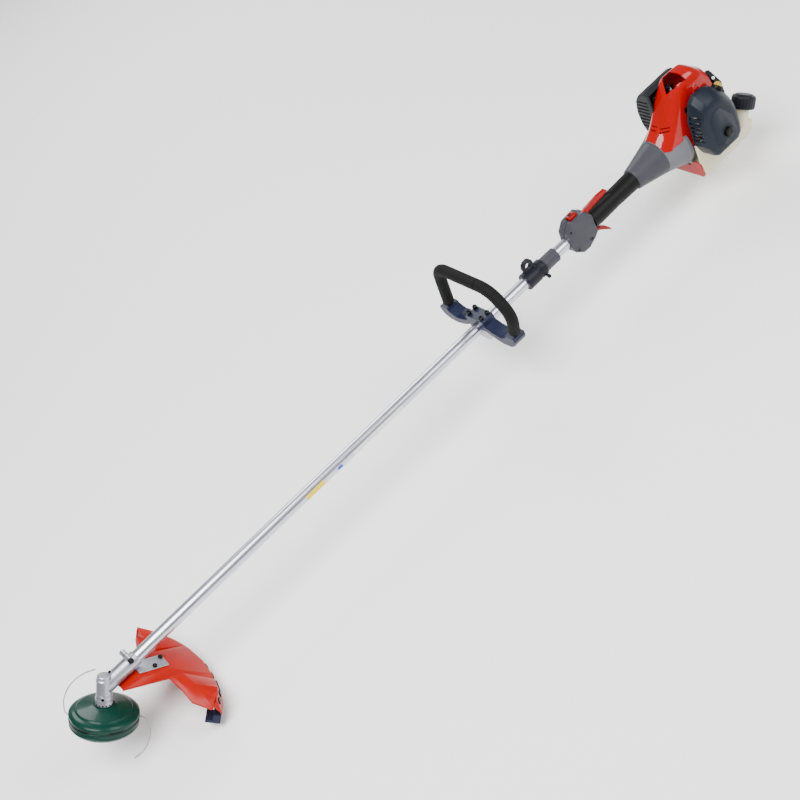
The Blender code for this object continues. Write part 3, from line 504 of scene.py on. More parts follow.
def block(low: Sequence[float], high: Sequence[float], place: Matrix) -> tuple:
    """A box between two corners, as points and faces."""
    outline = np.array([(low[0], low[1]), (high[0], low[1]), (high[0], high[1]), (low[0], high[1])], float)
    return extruded(outline, low[2], high[2], place)


def catmull(points: Sequence[Sequence[float]], step: float) -> np.ndarray:
    """Points about `step` apart on the smooth curve (Catmull-Rom) through the given ones."""
    given = np.array(points, float)
    given = np.vstack([2 * given[0] - given[1], given, 2 * given[-1] - given[-2]])
    runs = []
    for a, b, c, d in zip(given, given[1:], given[2:], given[3:]):
        count = max(1, round(float(np.linalg.norm(c - b)) / step))
        t = (np.arange(count) / count)[:, None]
        square, cube = (2 * a - 5 * b + 4 * c - d) * t**2, (3 * b - a - 3 * c + d) * t**3
        runs.append((2 * b + (c - a) * t + square + cube) / 2)
    return np.vstack([*runs, given[-2:-1]])


# --- The bench -----------------------------------------------------------------------------------
class Bench:
    """The frame, its places and its paintbox: what every sub-assembly works with."""

    def __init__(self) -> None:
        """Load the frame and work out where the shaft and the spindle stand."""
        self.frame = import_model()
        self.cad_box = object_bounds()
        self.box = Paintbox()
        record = self.frame["record"]
        self.body_of = {n: b for b, nodes in record["behaviour"]["bodies"].items() for n in nodes}
        self.slot_of = {s["node"]: s["material_slot"] for s in record["subparts"]}
        low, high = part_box("shaft_tube")
        corner = Vector((low.x - TUBE_START * MM, (low.y + high.y) / 2, (low.z + high.z) / 2))
        self.shaft = Matrix.Translation(corner) @ Matrix.Scale(MM, 4)
        self.spindle = self.shaft @ Matrix.Rotation(float(SPINDLE_TILT), 4, "Y")

    def along(self, u: float = 0.0, v: float = 0.0, w: float = 0.0) -> Matrix:
        """A place on the shaft whose Z runs along it."""
        return self.shaft @ Matrix.Translation((u, v, w)) @ Matrix.Rotation(np.pi / 2, 4, "Y")

    def side(self, v: float = 0.0) -> Matrix:
        """A place whose X and Y are the shaft frame's X and Z, and whose Z runs to the near side."""
        return self.shaft @ Matrix.Translation((0, v, 0)) @ Matrix.Rotation(np.pi / 2, 4, "X")

    def seat(self, made: bpy.types.Object, node: str) -> None:
        """Let an object ride on a CAD node's body."""
        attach(made, self.body_of[node])

    def piece(
        self, name: str, shape: tuple, finish: Finish, like: str, bevel: float = 0.0
    ) -> bpy.types.Object:
        """Add a new piece.

        Args:
            name: the object's name.
            shape: points and faces.
            finish: its material.
            like: the CAD node whose body it shares.
            bevel: width of its rounded edges, in millimetres.

        Returns:
            The dressed object, riding on its body.
        """
        made = new_piece(name, *shape, finish, self.box)
        if bevel:
            round_edges(made, bevel)
        self.seat(made, like)
        LOG.info("%s rides on %s in %s", name, self.body_of[like], finish.name)
        return made

    def stand_in(self, node: str, shape: tuple, finish: Finish, bevel: float = 0.0) -> bpy.types.Object:
        """Add a new piece that stands for one CAD node."""
        made = self.piece(f"{node}_shell", shape, finish, node, bevel)
        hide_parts(node)
        return made

    def refined(self, node: str, finish: Finish, bevel: float = 0.6) -> bpy.types.Object:
        """Stand a merged copy of a CAD node in for it, its flat faces joined and its edges rounded."""
        mesh = self.frame["nodes"][node].data.copy()
        clean = bmesh.new()
        clean.from_mesh(mesh)
        bmesh.ops.remove_doubles(clean, verts=clean.verts, dist=2e-5)
        bmesh.ops.dissolve_limit(
            clean, angle_limit=np.radians(1.0), verts=clean.verts, edges=clean.edges, delimit={"NORMAL"}
        )
        clean.to_mesh(mesh)
        clean.free()
        mesh.name = f"{node}_fine"
        made = add_object(f"{node}_fine", mesh)
        mesh.materials.clear()
        mesh.materials.append(self.box.material(finish))
        soften(made)
        round_edges(made, bevel)
        self.seat(made, node)
        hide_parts(node)
        LOG.info("%s refined in %s", node, finish.name)
        return made

    def carve(self, made: bpy.types.Object, shapes: Iterable[tuple]) -> None:
        """Cut closed shapes out of a piece and keep the result as its mesh."""
        tools = []
        for i, shape in enumerate(shapes):
            tool = new_piece(f"{made.name}_cutter_{i}", *shape, BLACK_PA, self.box)
            step = made.modifiers.new(f"cut_{i}", "BOOLEAN")
            step.operation, step.solver, step.object = "DIFFERENCE", "EXACT", tool
            tools.append(tool)
        settle(made)
        for tool in tools:
            bpy.data.objects.remove(tool)

    def dress(self, node: str, finish: Finish) -> None:
        """Give a CAD node that stays in view its finish."""
        mesh = self.frame["nodes"][node].data
        mesh.materials.clear()
        mesh.materials.append(self.box.material(finish))


def round_edges(made: bpy.types.Object, width: float) -> None:
    """Round a piece's sharp edges by a live bevel, in millimetres."""
    edge = made.modifiers.new("rounded_edges", "BEVEL")
    edge.width, edge.segments, edge.limit_method = width * MM, 2, "ANGLE"
    edge.angle_limit = BEVEL_ANGLE
    edge.harden_normals = True


def settle(made: bpy.types.Object) -> None:
    """Make a piece's modifiers part of its mesh."""
    graph = bpy.context.evaluated_depsgraph_get()
    graph.update()
    mesh = bpy.data.meshes.new_from_object(made.evaluated_get(graph))
    made.modifiers.clear()
    made.data = mesh
    soften(made)


# --- Small hardware ------------------------------------------------------------------------------
def socket_screw(radius: float, height: float, socket: float, place: Matrix) -> tuple:
    """A cap screw's head: a turned cap whose inner wall is a hexagon, r = socket / cos(a mod 60 - 30)."""
    rim = 0.12 * radius
    profile = np.array([
        (0, 0), (radius, 0), (radius, height - rim), (radius - rim, height), (socket + 0.3, height),
        (socket, height - 0.3), (socket, height * 0.35), (0, height * 0.35),
    ], float)

    def hexagon(r: np.ndarray, a: np.ndarray, z: np.ndarray) -> np.ndarray:
        """Bend the socket's wall into six flats, and leave the rest round."""
        flats = np.cos(np.pi / 6) / np.cos(np.mod(a, np.pi / 3) - np.pi / 6)
        return np.where((r > 0) & (r < socket + 0.1), r * flats, r)

    return revolved(profile, 36, place, hexagon)


@dataclass
class GearHead:
    """Cast gear case with its neck, clamp bolt, plug and what turns in it."""

    bench: Bench
    # how many dark discs of painted shade stand for the flange's holes
    flange_hole_shades: int = 16
    flange_r: float = 16.6
    flange_z: float = -28.0
    plug_turn: float = -35.0
    plug_at: tuple = (0.0, -14.9, -15.5)
    # corners of the blackened box that paints the shade in the neck's slit
    slit: tuple = ((30, -0.7, 14.2), (60, 0.7, 15.2))
    locating_at: tuple = (26.0, 3.5, 14.2)

    def build(self) -> None:
        """Refine the castings and add the screws that show."""
        bench = self.bench
        bench.refined("gearcase", CAST_ALLOY, 0.5)
        bench.refined("clamp_bolt", BLACK_OXIDE, 0.4)
        for node in ("output_spindle", "spindle_bearing", "bevel_pinion", "drive_shaft"):
            bench.dress(node, TURNED_STEEL)
        self._rings()
        self._flange_hole_shades()
        self._grease_plug()
        self._neck_slit_shade()

    def _rings(self) -> None:
        """Turned bands round the case: the top cover's snap ring, and the two beads over the flange."""
        for name, r, z, height in (
            ("cover_ring", 12.3, 21.2, 1.4),
            ("upper_bead", 14.0, -11.5, 1.6),
            ("lower_bead", 15.4, -21.0, 1.8),
        ):
            band = rounded([(r, z), (r + 0.9, z), (r + 0.9, z + height), (r, z + height)], 0.35, closed=True)
            self.bench.piece(f"case_{name}", revolved(band, 72, self.bench.spindle), CAST_ALLOY, "gearcase")

    def _flange_hole_shades(self) -> None:
        """Painted shade round the bottom flange: dark discs for the holes where a pin locks the spindle."""
        hole_shade = rounded([(0, 0), (1.5, 0), (1.5, 1.1), (0, 1.1)], 0.2)
        out = Matrix.Translation((self.flange_r - 0.9, 0, self.flange_z - 0.6))
        for i in range(self.flange_hole_shades):
            turn = Matrix.Rotation(2 * np.pi * (i + 0.5) / self.flange_hole_shades, 4, "Z")
            place = self.bench.spindle @ turn @ out
            shape = revolved(hole_shade, 18, place @ Matrix.Rotation(np.pi / 2, 4, "Y"))
            # painted shade: each of the holes is a blackened disc, not a cut
            self.bench.piece(f"flange_hole_{i}", shape, BLACK_OXIDE, "gearcase")

    def _grease_plug(self) -> None:
        """The grease plug low on the near side, a cap screw in a low boss."""
        turn = Matrix.Rotation(np.radians(self.plug_turn), 4, "Z")
        outward = Matrix.Translation(self.plug_at) @ Matrix.Rotation(np.pi / 2, 4, "X")
        place = self.bench.spindle @ turn @ outward
        boss = rounded([(0, -2), (4.2, -2), (4.2, 0.4), (3.7, 0.9), (0, 0.9)], 0.3)
        self.bench.piece("grease_boss", revolved(boss, 40, place), CAST_ALLOY, "gearcase")
        cap = socket_screw(2.6, 1.8, 1.2, place @ Matrix.Translation((0, 0, 0.7)))
        self.bench.piece("grease_plug", cap, BLACK_OXIDE, "gearcase")

    def _neck_slit_shade(self) -> None:
        """Painted shade in the neck's clamping slit, as a dark box, and the locating screw at its closed end.
        """
        shaft = self.bench.shaft
        # painted shade: the gap is drawn as a dark box, not cut
        self.bench.piece("neck_slit_shade", block(*self.slit, shaft), BLACK_OXIDE, "gearcase")
        screw = socket_screw(2.8, 3.0, 1.3, shaft @ Matrix.Translation(self.locating_at))
        self.bench.piece("locating_screw", screw, BLACK_OXIDE, "gearcase")


@dataclass
class LineHead:
    """Bump-feed head: domed housing, cup, spool knob, eyelets and the two free ends of line."""

    bench: Bench
    radius: float = 64.0
    top: float = -33.0
    split: float = -60.0
    foot: float = -79.0
    line_z: float = -61.0
    line_r: float = 1.2
    step: float = 6.0
    groove_depth: float = 0.5
    eyelet_turns: Pair = (-0.46, 2.5)
    # spans, in degrees, of the dark sheets that paint the shade in the head's windows
    windows: tuple = (("left", -188, -142), ("front", -108, -84), ("right", -52, -6), ("back", 60, 110))
    lengths: dict = field(default_factory=lambda: {"far": 0.173, "near": 0.140})
    routes: dict = field(default_factory=lambda: {
        "far": [(-51.5, 39), (-53, 50), (-42, 80), (-28, 103), (-10, 124), (12, 141), (34, 150), (57, 153)],
        "near": [(57.5, -29.5), (61, -40), (53, -73), (44, -92), (28, -114), (11, -129), (-10, -140)],
    })

    def build(self) -> None:
        """Make the lines first, then the turned shells and what sits on them."""
        for name, route in self.routes.items():
            self._line(name, route)
        self._housing()
        self._cup()
        self.bench.refined("bump_spool", BLACK_PA, 0.6)
        for turn in self.eyelet_turns:
            self._eyelet(turn)
        for name, low, high in self.windows:
            self._window_shade(name, low, high)

    def _line(self, name: str, route: list) -> None:
        """One free end of line, on its own smooth route in the head's plane."""
        bench, node = self.bench, f"cutting_line_{name}"
        flat = catmull(route, self.step)
        points = apply(bench.spindle, np.column_stack([flat, np.full(len(flat), self.line_z)]))
        curve = bpy.data.curves.new(f"line_{name}", "CURVE")
        curve.dimensions = "3D"
        curve.bevel_depth, curve.bevel_resolution, curve.use_fill_caps = self.line_r * MM, 4, True
        spline = curve.splines.new("POLY")
        spline.points.add(len(points) - 1)
        spline.points.foreach_set("co", np.column_stack([points, np.ones(len(points))]).ravel())
        curve.materials.append(bench.box.material(LINE_PA))
        made = add_object(f"line_{name}", curve)
        bench.seat(made, node)
        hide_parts(node)
        length = float(np.linalg.norm(np.diff(points, axis=0), axis=1).sum())
        LOG.info("line_%s runs %.3f m", name, length)

    def _housing(self) -> None:
        """Domed housing: a turned wall whose skirt carries shallow recesses."""
        r, split = self.radius, self.split
        outer = rounded([
            (5.2, self.top), (20, self.top), (24, -34.4), (48.5, -39.2), (50.4, -40.2), (51.4, -42.4),
            (58.6, -44.8), (r, -48.8), (r, -54.4), (r - 1.4, -55.2), (r - 1.4, -58.8), (r, -59.4),
            (r, split + 0.1),
        ], 2.2, 6)
        inner = rounded([
            (61.6, split + 0.1), (61.4, -50), (50, -43.6), (20, -37), (12, -37), (12, -56), (5.2, -56),
        ], 1.2)
        shape = revolved(np.vstack([outer, inner]), 144, self.bench.spindle, self._grooves)
        self.bench.stand_in("head_housing", shape, HEAD_PA)

    def _grooves(self, r: np.ndarray, a: np.ndarray, z: np.ndarray) -> np.ndarray:
        """Six long shallow recesses round the skirt, deepest where cos(6a + 0.9) is highest."""
        wave = np.clip(np.cos(6 * a + 0.9) * 3.0 - 1.6, 0, 1)
        return np.where((r > 63.5) & (z < -50.0) & (z > -54.5), r - self.groove_depth * wave, r)

    def _cup(self) -> None:
        """The cup below the split, with a bead round its widest place."""
        foot = self.foot
        outer = rounded([
            (25, foot), (57, foot + 1), (61, -74), (62.4, -71.5), (63.2, -70.5), (63.2, -68.8), (62.4, -67.8),
            (62.4, self.split - 1.3),
        ], 1.2, 5)
        inner = np.array([(60, self.split - 1.3), (60, -70), (56, -75), (25, -76.4)], float)
        self.bench.stand_in("head_cup", revolved(np.vstack([outer, inner]), 144, self.bench.spindle), HEAD_PA)

    def _eyelet(self, turn: float) -> None:
        """A steel eyelet where a line leaves: a turned ring set into the wall."""
        place = (
            self.bench.spindle @ Matrix.Rotation(turn, 4, "Z")
            @ Matrix.Translation((self.radius - 2.6, 0, self.line_z + 2.4))
            @ Matrix.Rotation(np.pi / 2, 4, "Y")
        )
        ring = rounded([(1.9, 0), (4.2, 0), (4.6, 1.6), (4.0, 3.0), (2.6, 3.2), (1.9, 2.2)], 0.5, closed=True)
        self.bench.piece(f"eyelet_{'near' if turn < 0 else 'far'}", revolved(ring, 40, place), TURNED_STEEL,
                         "head_housing")

    def _window_shade(self, name: str, low: float, high: float) -> None:
        """Painted shade: a long dark sheet for an opening in the groove over the split, between two angles."""
        shape = curved_sheet(self.bench.spindle, self.radius - 1.3, (low, high), (-58.6, -55.4), 0.5)
        # painted shade: a black sheet laid on the wall, not an opening cut in it
        self.bench.piece(f"window_{name}", shape, BLACK_PA, "head_housing")


@dataclass
class Guard:
    """Shield with its creases, edge clips, plate, screws and the knife that trims the line."""

    bench: Bench
    roll: float = float(np.radians(6.5))
    rim_r: float = 203.0
    lip_r: float = 216.0
    rim_z: float = -6.0
    lip_z: float = -37.0
    clip_angles: tuple = (-36.0, -30.0, -24.0, -18.0, -10.0, -2.0)

    def build(self) -> None:
        """Refine the shield, its plate, screws and knife, and add the clips."""
        bench = self.bench
        self.place = bench.spindle @ Matrix.Rotation(self.roll, 4, "X")
        bench.refined("guard", GUARD_PP, 1.2)
        bench.refined("guard_bracket", CAST_ALLOY, 0.4)
        for node in ("guard_bolt_front", "guard_bolt_rear"):
            bench.refined(node, BLACK_OXIDE, 0.4)
        bench.refined("line_knife", BRACKET_PA, 0.8)
        for angle in self.clip_angles:
            self._clip(angle)

    def _clip(self, angle: float) -> None:
        """A dark clip on the outer lip, where a debris skirt is fixed."""
        drop = np.arctan2(self.rim_z - self.lip_z, self.lip_r - self.rim_r)
        lift = float(np.interp(-angle, (12, 22, 28, 34), (0, 6, 14, 16)))
        place = (
            self.place @ Matrix.Rotation(np.radians(angle), 4, "Z")
            @ Matrix.Translation((self.rim_r + 5.0, 0, lift - 16))
            @ Matrix.Rotation(drop, 4, "Y")
        )
        self.bench.piece(f"skirt_clip_{round(angle) % 360}", block((-5, -4.5, -1.5), (5, 4.5, 1.2), place),
                         CHARCOAL_PA, "guard", 0.6)


@dataclass
class Shaft:
    """Tube with plain film patches, and the sleeve behind the harness clamp."""

    bench: Bench
    radius: float = 12.0
    bore: float = 10.4
    start: float = TUBE_START
    end: float = 1500.0
    films: tuple = (
        ("film_yellow", 503, 549, 68, 128, FILM_YELLOW),
        ("film_blue", 585, 597, 80, 116, FILM_BLUE),
        ("film_white", 628, 760, 78, 118, FILM_WHITE),
    )

    def build(self) -> None:
        """Turn the tube and lay the films on it."""
        bench = self.bench
        wall = rounded([
            (self.radius, self.start), (self.radius, self.end), (self.bore, self.end),
            (self.bore, self.start),
        ], 0.5, 4, True)
        bench.stand_in("shaft_tube", revolved(wall, 96, bench.along()), TUBE_ALLOY)
        bench.refined("shaft_sleeve", GREY_PA, 0.8)
        bench.dress("shaft_bushing", BLACK_PA)
        for film in self.films:
            self._film(*film)

    def _film(self, name: str, start: float, end: float, low: float, high: float, finish: Finish) -> None:
        """A plain film laid round the tube, its edges in degrees from straight up to the near side."""
        turned = self.bench.along() @ Matrix.Rotation(np.pi, 4, "Z")
        shape = curved_sheet(turned, self.radius + 0.02, (low, high), (start, end))
        self.bench.piece(name, shape, finish, "shaft_tube")


@dataclass
class LoopHandle:
    """Steel loop under two foam sleeves, on a bracket that four screws clamp to the tube."""

    bench: Bench
    u: float = 1000.0
    half_width: float = 101.0
    foot: float = 9.0
    top: float = 122.0
    core_r: float = 6.0
    foam_r: float = 12.0
    seam: float = -50.0
    foam_start: float = 12.0
    screw_at: tuple = (8.5, 19.0, 26.4)

    def build(self) -> None:
        """Bend the loop, sleeve it, and refine the bracket."""
        bench = self.bench
        lean = Matrix.Rotation(np.radians(1.0), 4, "Y")
        self.place = bench.shaft @ Matrix.Translation((self.u, 0, 0)) @ lean
        route = self._route()
        core = tube(route, np.full(len(route), self.core_r), Vector((1, 0, 0)), 32, self.place)
        bench.stand_in("handle_loop", core, BLACK_OXIDE)
        travelled = np.concatenate([[0], np.cumsum(np.linalg.norm(np.diff(route, axis=0), axis=1))])
        split = travelled[np.argmax(route[:, 1] > self.seam)]
        for name, low, high in (
            ("foam_grip_near", self.foam_start, split - 0.4),
            ("foam_grip_far", split + 0.4, travelled[-1] - self.foam_start),
        ):
            self._foam(name, route, travelled, low, high)
        bench.refined("handle_bracket", BRACKET_PA, 1.2)
        bench.refined("handle_clamp", CAST_ALLOY, 0.5)
        for i in range(4):
            self._clamp_screw(i)

    def _route(self) -> np.ndarray:
        """The loop's centreline: its outline's corners rounded, then sampled evenly along its length."""
        corners = [
            (-self.half_width, self.foot), (-124, 74), (-84, self.top), (76, self.top),
            (self.half_width, self.foot),
        ]
        flat = rounded(corners, 29.0, 16)
        travelled = np.concatenate([[0], np.cumsum(np.linalg.norm(np.diff(flat, axis=0), axis=1))])
        even = np.linspace(0, travelled[-1], 150)
        width, height = (np.interp(even, travelled, flat[:, k]) for k in range(2))
        return np.stack([0 * even, width, height], -1)

    def _foam(self, name: str, route: np.ndarray, travelled: np.ndarray, low: float, high: float) -> None:
        """A foam sleeve: the loop's line between two places, its ends rolled in as a quarter circle."""
        roll = 2.6
        even = np.concatenate([
            low + roll * (1 - np.cos(np.linspace(0, np.pi / 2, 6))),
            np.linspace(low + roll, high - roll, 90)[1:-1],
            high - roll * (1 - np.cos(np.linspace(np.pi / 2, 0, 6))),
        ])
        path = np.stack([np.interp(even, travelled, route[:, k]) for k in range(3)], -1)
        inset = np.clip((roll - np.minimum(even - low, high - even)) / roll, 0, 1)
        radii = self.foam_r - roll * (1 - np.sqrt(1 - np.clip(inset, 0, 1) ** 2))
        made = self.bench.stand_in(name, tube(path, radii, Vector((1, 0, 0)), 48, self.place), GRIP_FOAM)

    def _clamp_screw(self, i: int) -> None:
        """One clamp screw's head with its hexagon socket: near then far, at the front and then behind."""
        u, v, w = self.screw_at
        corner = (self.u + (u if i > 1 else -u), v if i % 2 else -v, w)
        place = self.bench.shaft @ Matrix.Translation(corner)
        self.bench.stand_in(f"handle_screw_{i + 1}", socket_screw(5.0, 6.4, 2.4, place), BLACK_OXIDE)


@dataclass
class HarnessClamp:
    """Grooved clamp with the eyelet that a harness hooks into."""

    bench: Bench

    def build(self) -> None:
        """Refine the moulding and its screw."""
        self.bench.refined("harness_clamp", CHARCOAL_PA, 0.7)
        self.bench.refined("harness_screw", BLACK_OXIDE, 0.4)


@dataclass
class Throttle:
    """Two-part throttle housing with its levers, stop switch and screws, and the rear grip."""

    bench: Bench
    start: float = 1244.0
    half: float = 17.0
    screws: tuple = ((12.0, -22.0), (10.0, 26.0), (50.0, -24.0))
    switch_u: float = 33.0

    def build(self) -> None:
        """Refine the housing, controls and grip, and add the screws and the inlay."""
        bench = self.bench
        for side in ("near", "far"):
            bench.refined(f"throttle_housing_{side}", GREY_PA, 0.8)
        for node in ("throttle_trigger", "lockout_lever", "stop_switch"):
            bench.refined(node, CONTROL_POM, 0.7)
        bench.refined("rear_grip", GRIP_TPE, 0.8)
        for i, (u, w) in enumerate(self.screws):
            self._screw(i, self.start + u, w)
        self._switch_mark()

    def _screw(self, i: int, u: float, w: float) -> None:
        """A housing screw in a shallow ring, on the near side."""
        like = "throttle_housing_near"
        place = self.bench.side(-self.half - 0.1) @ Matrix.Translation((u, w, 0))
        ring = rounded([(2.9, -1), (4.4, -1), (4.4, 0.5), (3.9, 0.9), (2.9, 0.9)], 0.3, closed=True)
        self.bench.piece(f"housing_boss_{i}", revolved(ring, 36, place), GREY_PA, like)
        self.bench.piece(f"housing_screw_{i}", socket_screw(2.7, 0.8, 1.2, place), BLACK_OXIDE, like)

    def _switch_mark(self) -> None:
        """A plain black inlay on the stop switch."""
        u = self.start + self.switch_u
        inlay = block((u - 3.5, -4, 47.4), (u + 3.5, 4, 48.35), self.bench.shaft)
        self.bench.piece("switch_inlay", inlay, BLACK_PA, "stop_switch", 0.3)


@dataclass
class Shroud:
    """Gloss engine shroud: sections across the shaft, square on the near side and round on the far one."""

    bench: Bench
    base: float = -8.0
    far: float = 0.74
    skin: float = 2.4
    stations: tuple = (
        (1519.6, 43.4, 43.2, 2.0), (1542, 46, 62, 2.2), (1566, 50, 94, 2.6), (1588, 50.5, 121, 3.0),
        (1600, 50, 134, 3.2), (1611, 49, 139, 3.4), (1650, 49, 137, 3.4), (1684, 48, 112, 3.2),
    )

    def build(self) -> None:
        """Work out the shell, thicken it and cut its openings."""
        rows, columns = 73, 61
        given = np.array(self.stations)
        even = np.linspace(0, len(given) - 1, rows)
        station = np.stack([self._eased(even, given[:, k]) for k in range(4)], -1)
        angle = np.linspace(0, np.pi, columns)[None, :]
        u, half, top, power = (station[:, k : k + 1] for k in range(4))
        near = np.cos(angle) <= 0
        exponent = np.where(near, power, 2.0)
        width = np.where(near, -half, half * self.far)
        cosine, sine = np.abs(np.cos(angle)), np.clip(np.sin(angle), 0, 1)
        points = np.stack([
            u + 0 * angle,
            width * cosine ** (2 / exponent),
            self.base + (top - self.base) * sine ** (2 / exponent),
        ], -1).reshape(-1, 3)
        shape = apply(self.bench.shaft, points), grid_faces(rows, columns, False, False)
        made = self.bench.stand_in("engine_shroud", shape, SHROUD_ABS)
        wall = made.modifiers.new("wall", "SOLIDIFY")
        wall.thickness, wall.offset, wall.use_even_offset = self.skin * MM, self._inward(made), True
        self.bench.carve(made, self._openings())
        round_edges(made, 0.8)

    @staticmethod
    def _eased(at: np.ndarray, values: np.ndarray) -> np.ndarray:
        """Values between stations by a cubic, whose slope at a station is 2pq / (p + q).

        p and q are the steps on its two sides, and the slope is 0 where they turn back.
        """
        step = np.diff(values)
        product, total = 2 * step[1:] * step[:-1], step[1:] + step[:-1]
        middle = np.where(product > 0, product / np.where(total == 0, 1, total), 0)
        slope = np.concatenate([step[:1], middle, step[-1:]])
        i = np.clip(at.astype(int), 0, len(values) - 2)
        t = at - i
        return (
            values[i] * (1 + 2 * t) * (1 - t) ** 2 + slope[i] * t * (1 - t) ** 2
            + values[i + 1] * t**2 * (3 - 2 * t) + slope[i + 1] * t**2 * (t - 1)
        )

    @staticmethod
    def _inward(made: bpy.types.Object) -> float:
        """Which side of the surface the wall grows to, so that it grows inwards."""
        centre = sum((v.co for v in made.data.vertices), Vector()) / len(made.data.vertices)
        top = max(made.data.polygons, key=lambda face: face.center.z)
        return -1.0 if top.normal.dot(top.center - centre) > 0 else 1.0

    def _openings(self) -> list:
        """What the shell is cut by: fan housing's cone, open underside, top recess, windows and slots."""
        place = self.bench.shaft
        cone = np.array([
            (0, 1500), (40.3, 1500), (40.8, 1519.4), (54.8, 1566), (57.4, 1566.4), (57.4, 1577), (0, 1577),
        ])
        below = np.array([(1510, 25), (1520, 23), (1568, 4), (1590, -9), (1590, -60), (1510, -60)], float)
        slots = [
            block((1515, v - 9, w), (1560, v + 9, w + 2.6), place)
            for v, w in ((-25, 53), (-25, 59), (0, 56), (0, 62))
        ]
        recess = np.array([(1586, -19), (1600, -31), (1632, -35), (1627, 3), (1606, 3)], float)
        return [
            revolved(cone, 96, self.bench.along()),
            extruded(below, -80, 80, self.bench.side()),
            extruded(recess, 100, 150, place),
            block((1590, 20, 26), (1644, 60, 93), place),
            block((1594, -60, 2), (1664, -40, 80), place),
            *slots,
        ]


@dataclass
class Engine:
    """Everything behind the grip: housings, shroud, covers, tank and the parts that show through openings."""

    bench: Bench
    grip_end: float = 1446.0
    clutch_end: float = 1519.0
    fan_end: float = 1576.0
    cap_at: tuple = (1742.0, -46.0, -18.0)
    cover_face: float = -100.8
    knob_face: float = -101.6
    knob_at: tuple = (1636.0, 4.0, 0.0)
    handle_at: tuple = (1702.0, -27.0, 69.4)
    handle_facing: tuple = (-0.263, -0.645, 0.717)
    handle_half: float = 7.6

    def build(self) -> None:
        """Dress or replace each engine piece."""
        bench = self.bench
        self._clutch_housing()
        self._fan_housing()
        Shroud(bench).build()
        for node, finish, bevel in (
            ("muffler_guard", DARK_GREY_PA, 0.8), ("filter_cover", SLATE_PA, 2.2),
            ("primer_base", BLACK_PA, 0.4), ("primer_bulb", BULB_PU, 0.5),
            ("choke_lever", CONTROL_POM, 0.7), ("starter_housing", CHARCOAL_PA, 1.0),
            ("pull_handle", BLACK_PA, 1.0), ("fuel_tank", TANK_PE, 1.6), ("tank_guard", SHROUD_ABS, 1.0),
            ("cylinder", CAST_ALLOY, 0.4), ("spark_plug_boot", BLACK_PA, 0.6),
            ("crankcase", CAST_ALLOY, 0.8), ("carburettor", CAST_ALLOY, 0.6), ("muffler", TURNED_STEEL, 1.0),
        ):
            bench.refined(node, finish, bevel)
        for node, finish in (
            ("filter_element", FILTER_FOAM), ("clutch_drum", TURNED_STEEL), ("clutch_shoes", BLACK_OXIDE),
            ("flywheel", CAST_ALLOY), ("crankshaft", TURNED_STEEL),
        ):
            bench.dress(node, finish)
        self._cap()
        self._cover_face()
        self._knob()
        self._handle_plug()

    def _clutch_housing(self) -> None:
        """The cone from grip to engine, as a turned wall."""
        low, high = self.grip_end, self.clutch_end
        profile = np.vstack([
            rounded([
                (12.3, low), (22.5, low), (24.3, low + 3), (26.5, low + 14), (38.4, high - 6),
                (39.5, high - 3), (39.5, high),
            ], 3.0, 6),
            np.array([(36.5, high), (36, high - 2), (25, low + 30), (25, low + 18), (12.3, low + 18)]),
        ])
        self.bench.stand_in("clutch_housing", revolved(profile, 96, self.bench.along()), GREY_PA)

    def _fan_housing(self) -> None:
        """The flared housing round the fan, with a raised rim."""
        low, high = self.clutch_end + 0.4, self.fan_end
        profile = rounded([
            (37, low), (40, low), (54, high - 10), (56.5, high - 9), (56.5, high), (53, high),
            (51, high - 10),
        ], 1.2, 5, True)
        self.bench.stand_in("fan_housing", revolved(profile, 120, self.bench.along()), LIGHT_GREY_PA)

    def _cap(self) -> None:
        """The fuel cap, whose wall carries 24 flutes, r = R + 0.45 cos 24a, fading to top and bottom."""
        bench = self.bench
        tilt = Matrix.Rotation(float(SPINDLE_TILT), 4, "Y")
        place = bench.shaft @ Matrix.Translation(self.cap_at) @ tilt
        profile = np.vstack([
            np.array([(0, -12), (11.4, -12), (11.4, 9), (15.6, 9), (15.6, -12)]),
            rounded([
                (17, -12), (24.2, -12), (25.2, -9), (25.2, 11), (23.4, 15), (19, 15.6), (18, 17.6), (0, 18),
            ], 1.6, 5),
        ])

        def fluted(r: np.ndarray, a: np.ndarray, z: np.ndarray) -> np.ndarray:
            """Flutes on the outer wall only."""
            fade = np.clip((z + 10) / 3, 0, 1) * np.clip((12 - z) / 3, 0, 1)
            return np.where(r > 24.0, r + 0.45 * fade * np.cos(24 * a), r)

        bench.stand_in("fuel_cap", revolved(profile, 192, place, fluted), CHARCOAL_PA)

    def _cover_face(self) -> None:
        """A raised panel on the cover's flat face, and the dished seat round its knob."""
        bench = self.bench
        panel = rounded([
            (1604, -12), (1620, -19), (1650, -19), (1661, -9), (1661, 28), (1634, 66), (1612, 66), (1600, 52),
        ], 6.0, closed=True)
        shape = extruded(panel, 0.0, 1.0, bench.side(self.cover_face))
        made = bench.piece("cover_panel", shape, SLATE_PA, "filter_cover", 0.5)
        seat = bench.side(self.knob_face) @ Matrix.Translation(self.knob_at)
        bench.carve(made, [revolved(np.array([(0, -4), (11.4, -4), (11.4, 4), (0, 4)], float), 40, seat)])
        dish = rounded([(12.6, 0), (15.2, 0), (14.6, 1.0), (13.2, 1.0)], 0.4, closed=True)
        bench.piece("knob_seat", revolved(dish, 64, seat), CHARCOAL_PA, "filter_cover")

    def _knob(self) -> None:
        """The cover's knob: a five-lobed grip, r = R (1 + 0.06 cos 5a)."""
        bench = self.bench
        place = bench.side(self.knob_face) @ Matrix.Translation(self.knob_at)
        profile = np.vstack([
            np.array([(0, -10.6), (3.6, -10.6), (3.6, 0)]),
            rounded([(9.6, 0), (10, 2), (9.4, 6.2), (7.6, 7.4), (0, 7.4)], 1.0, 5),
        ])

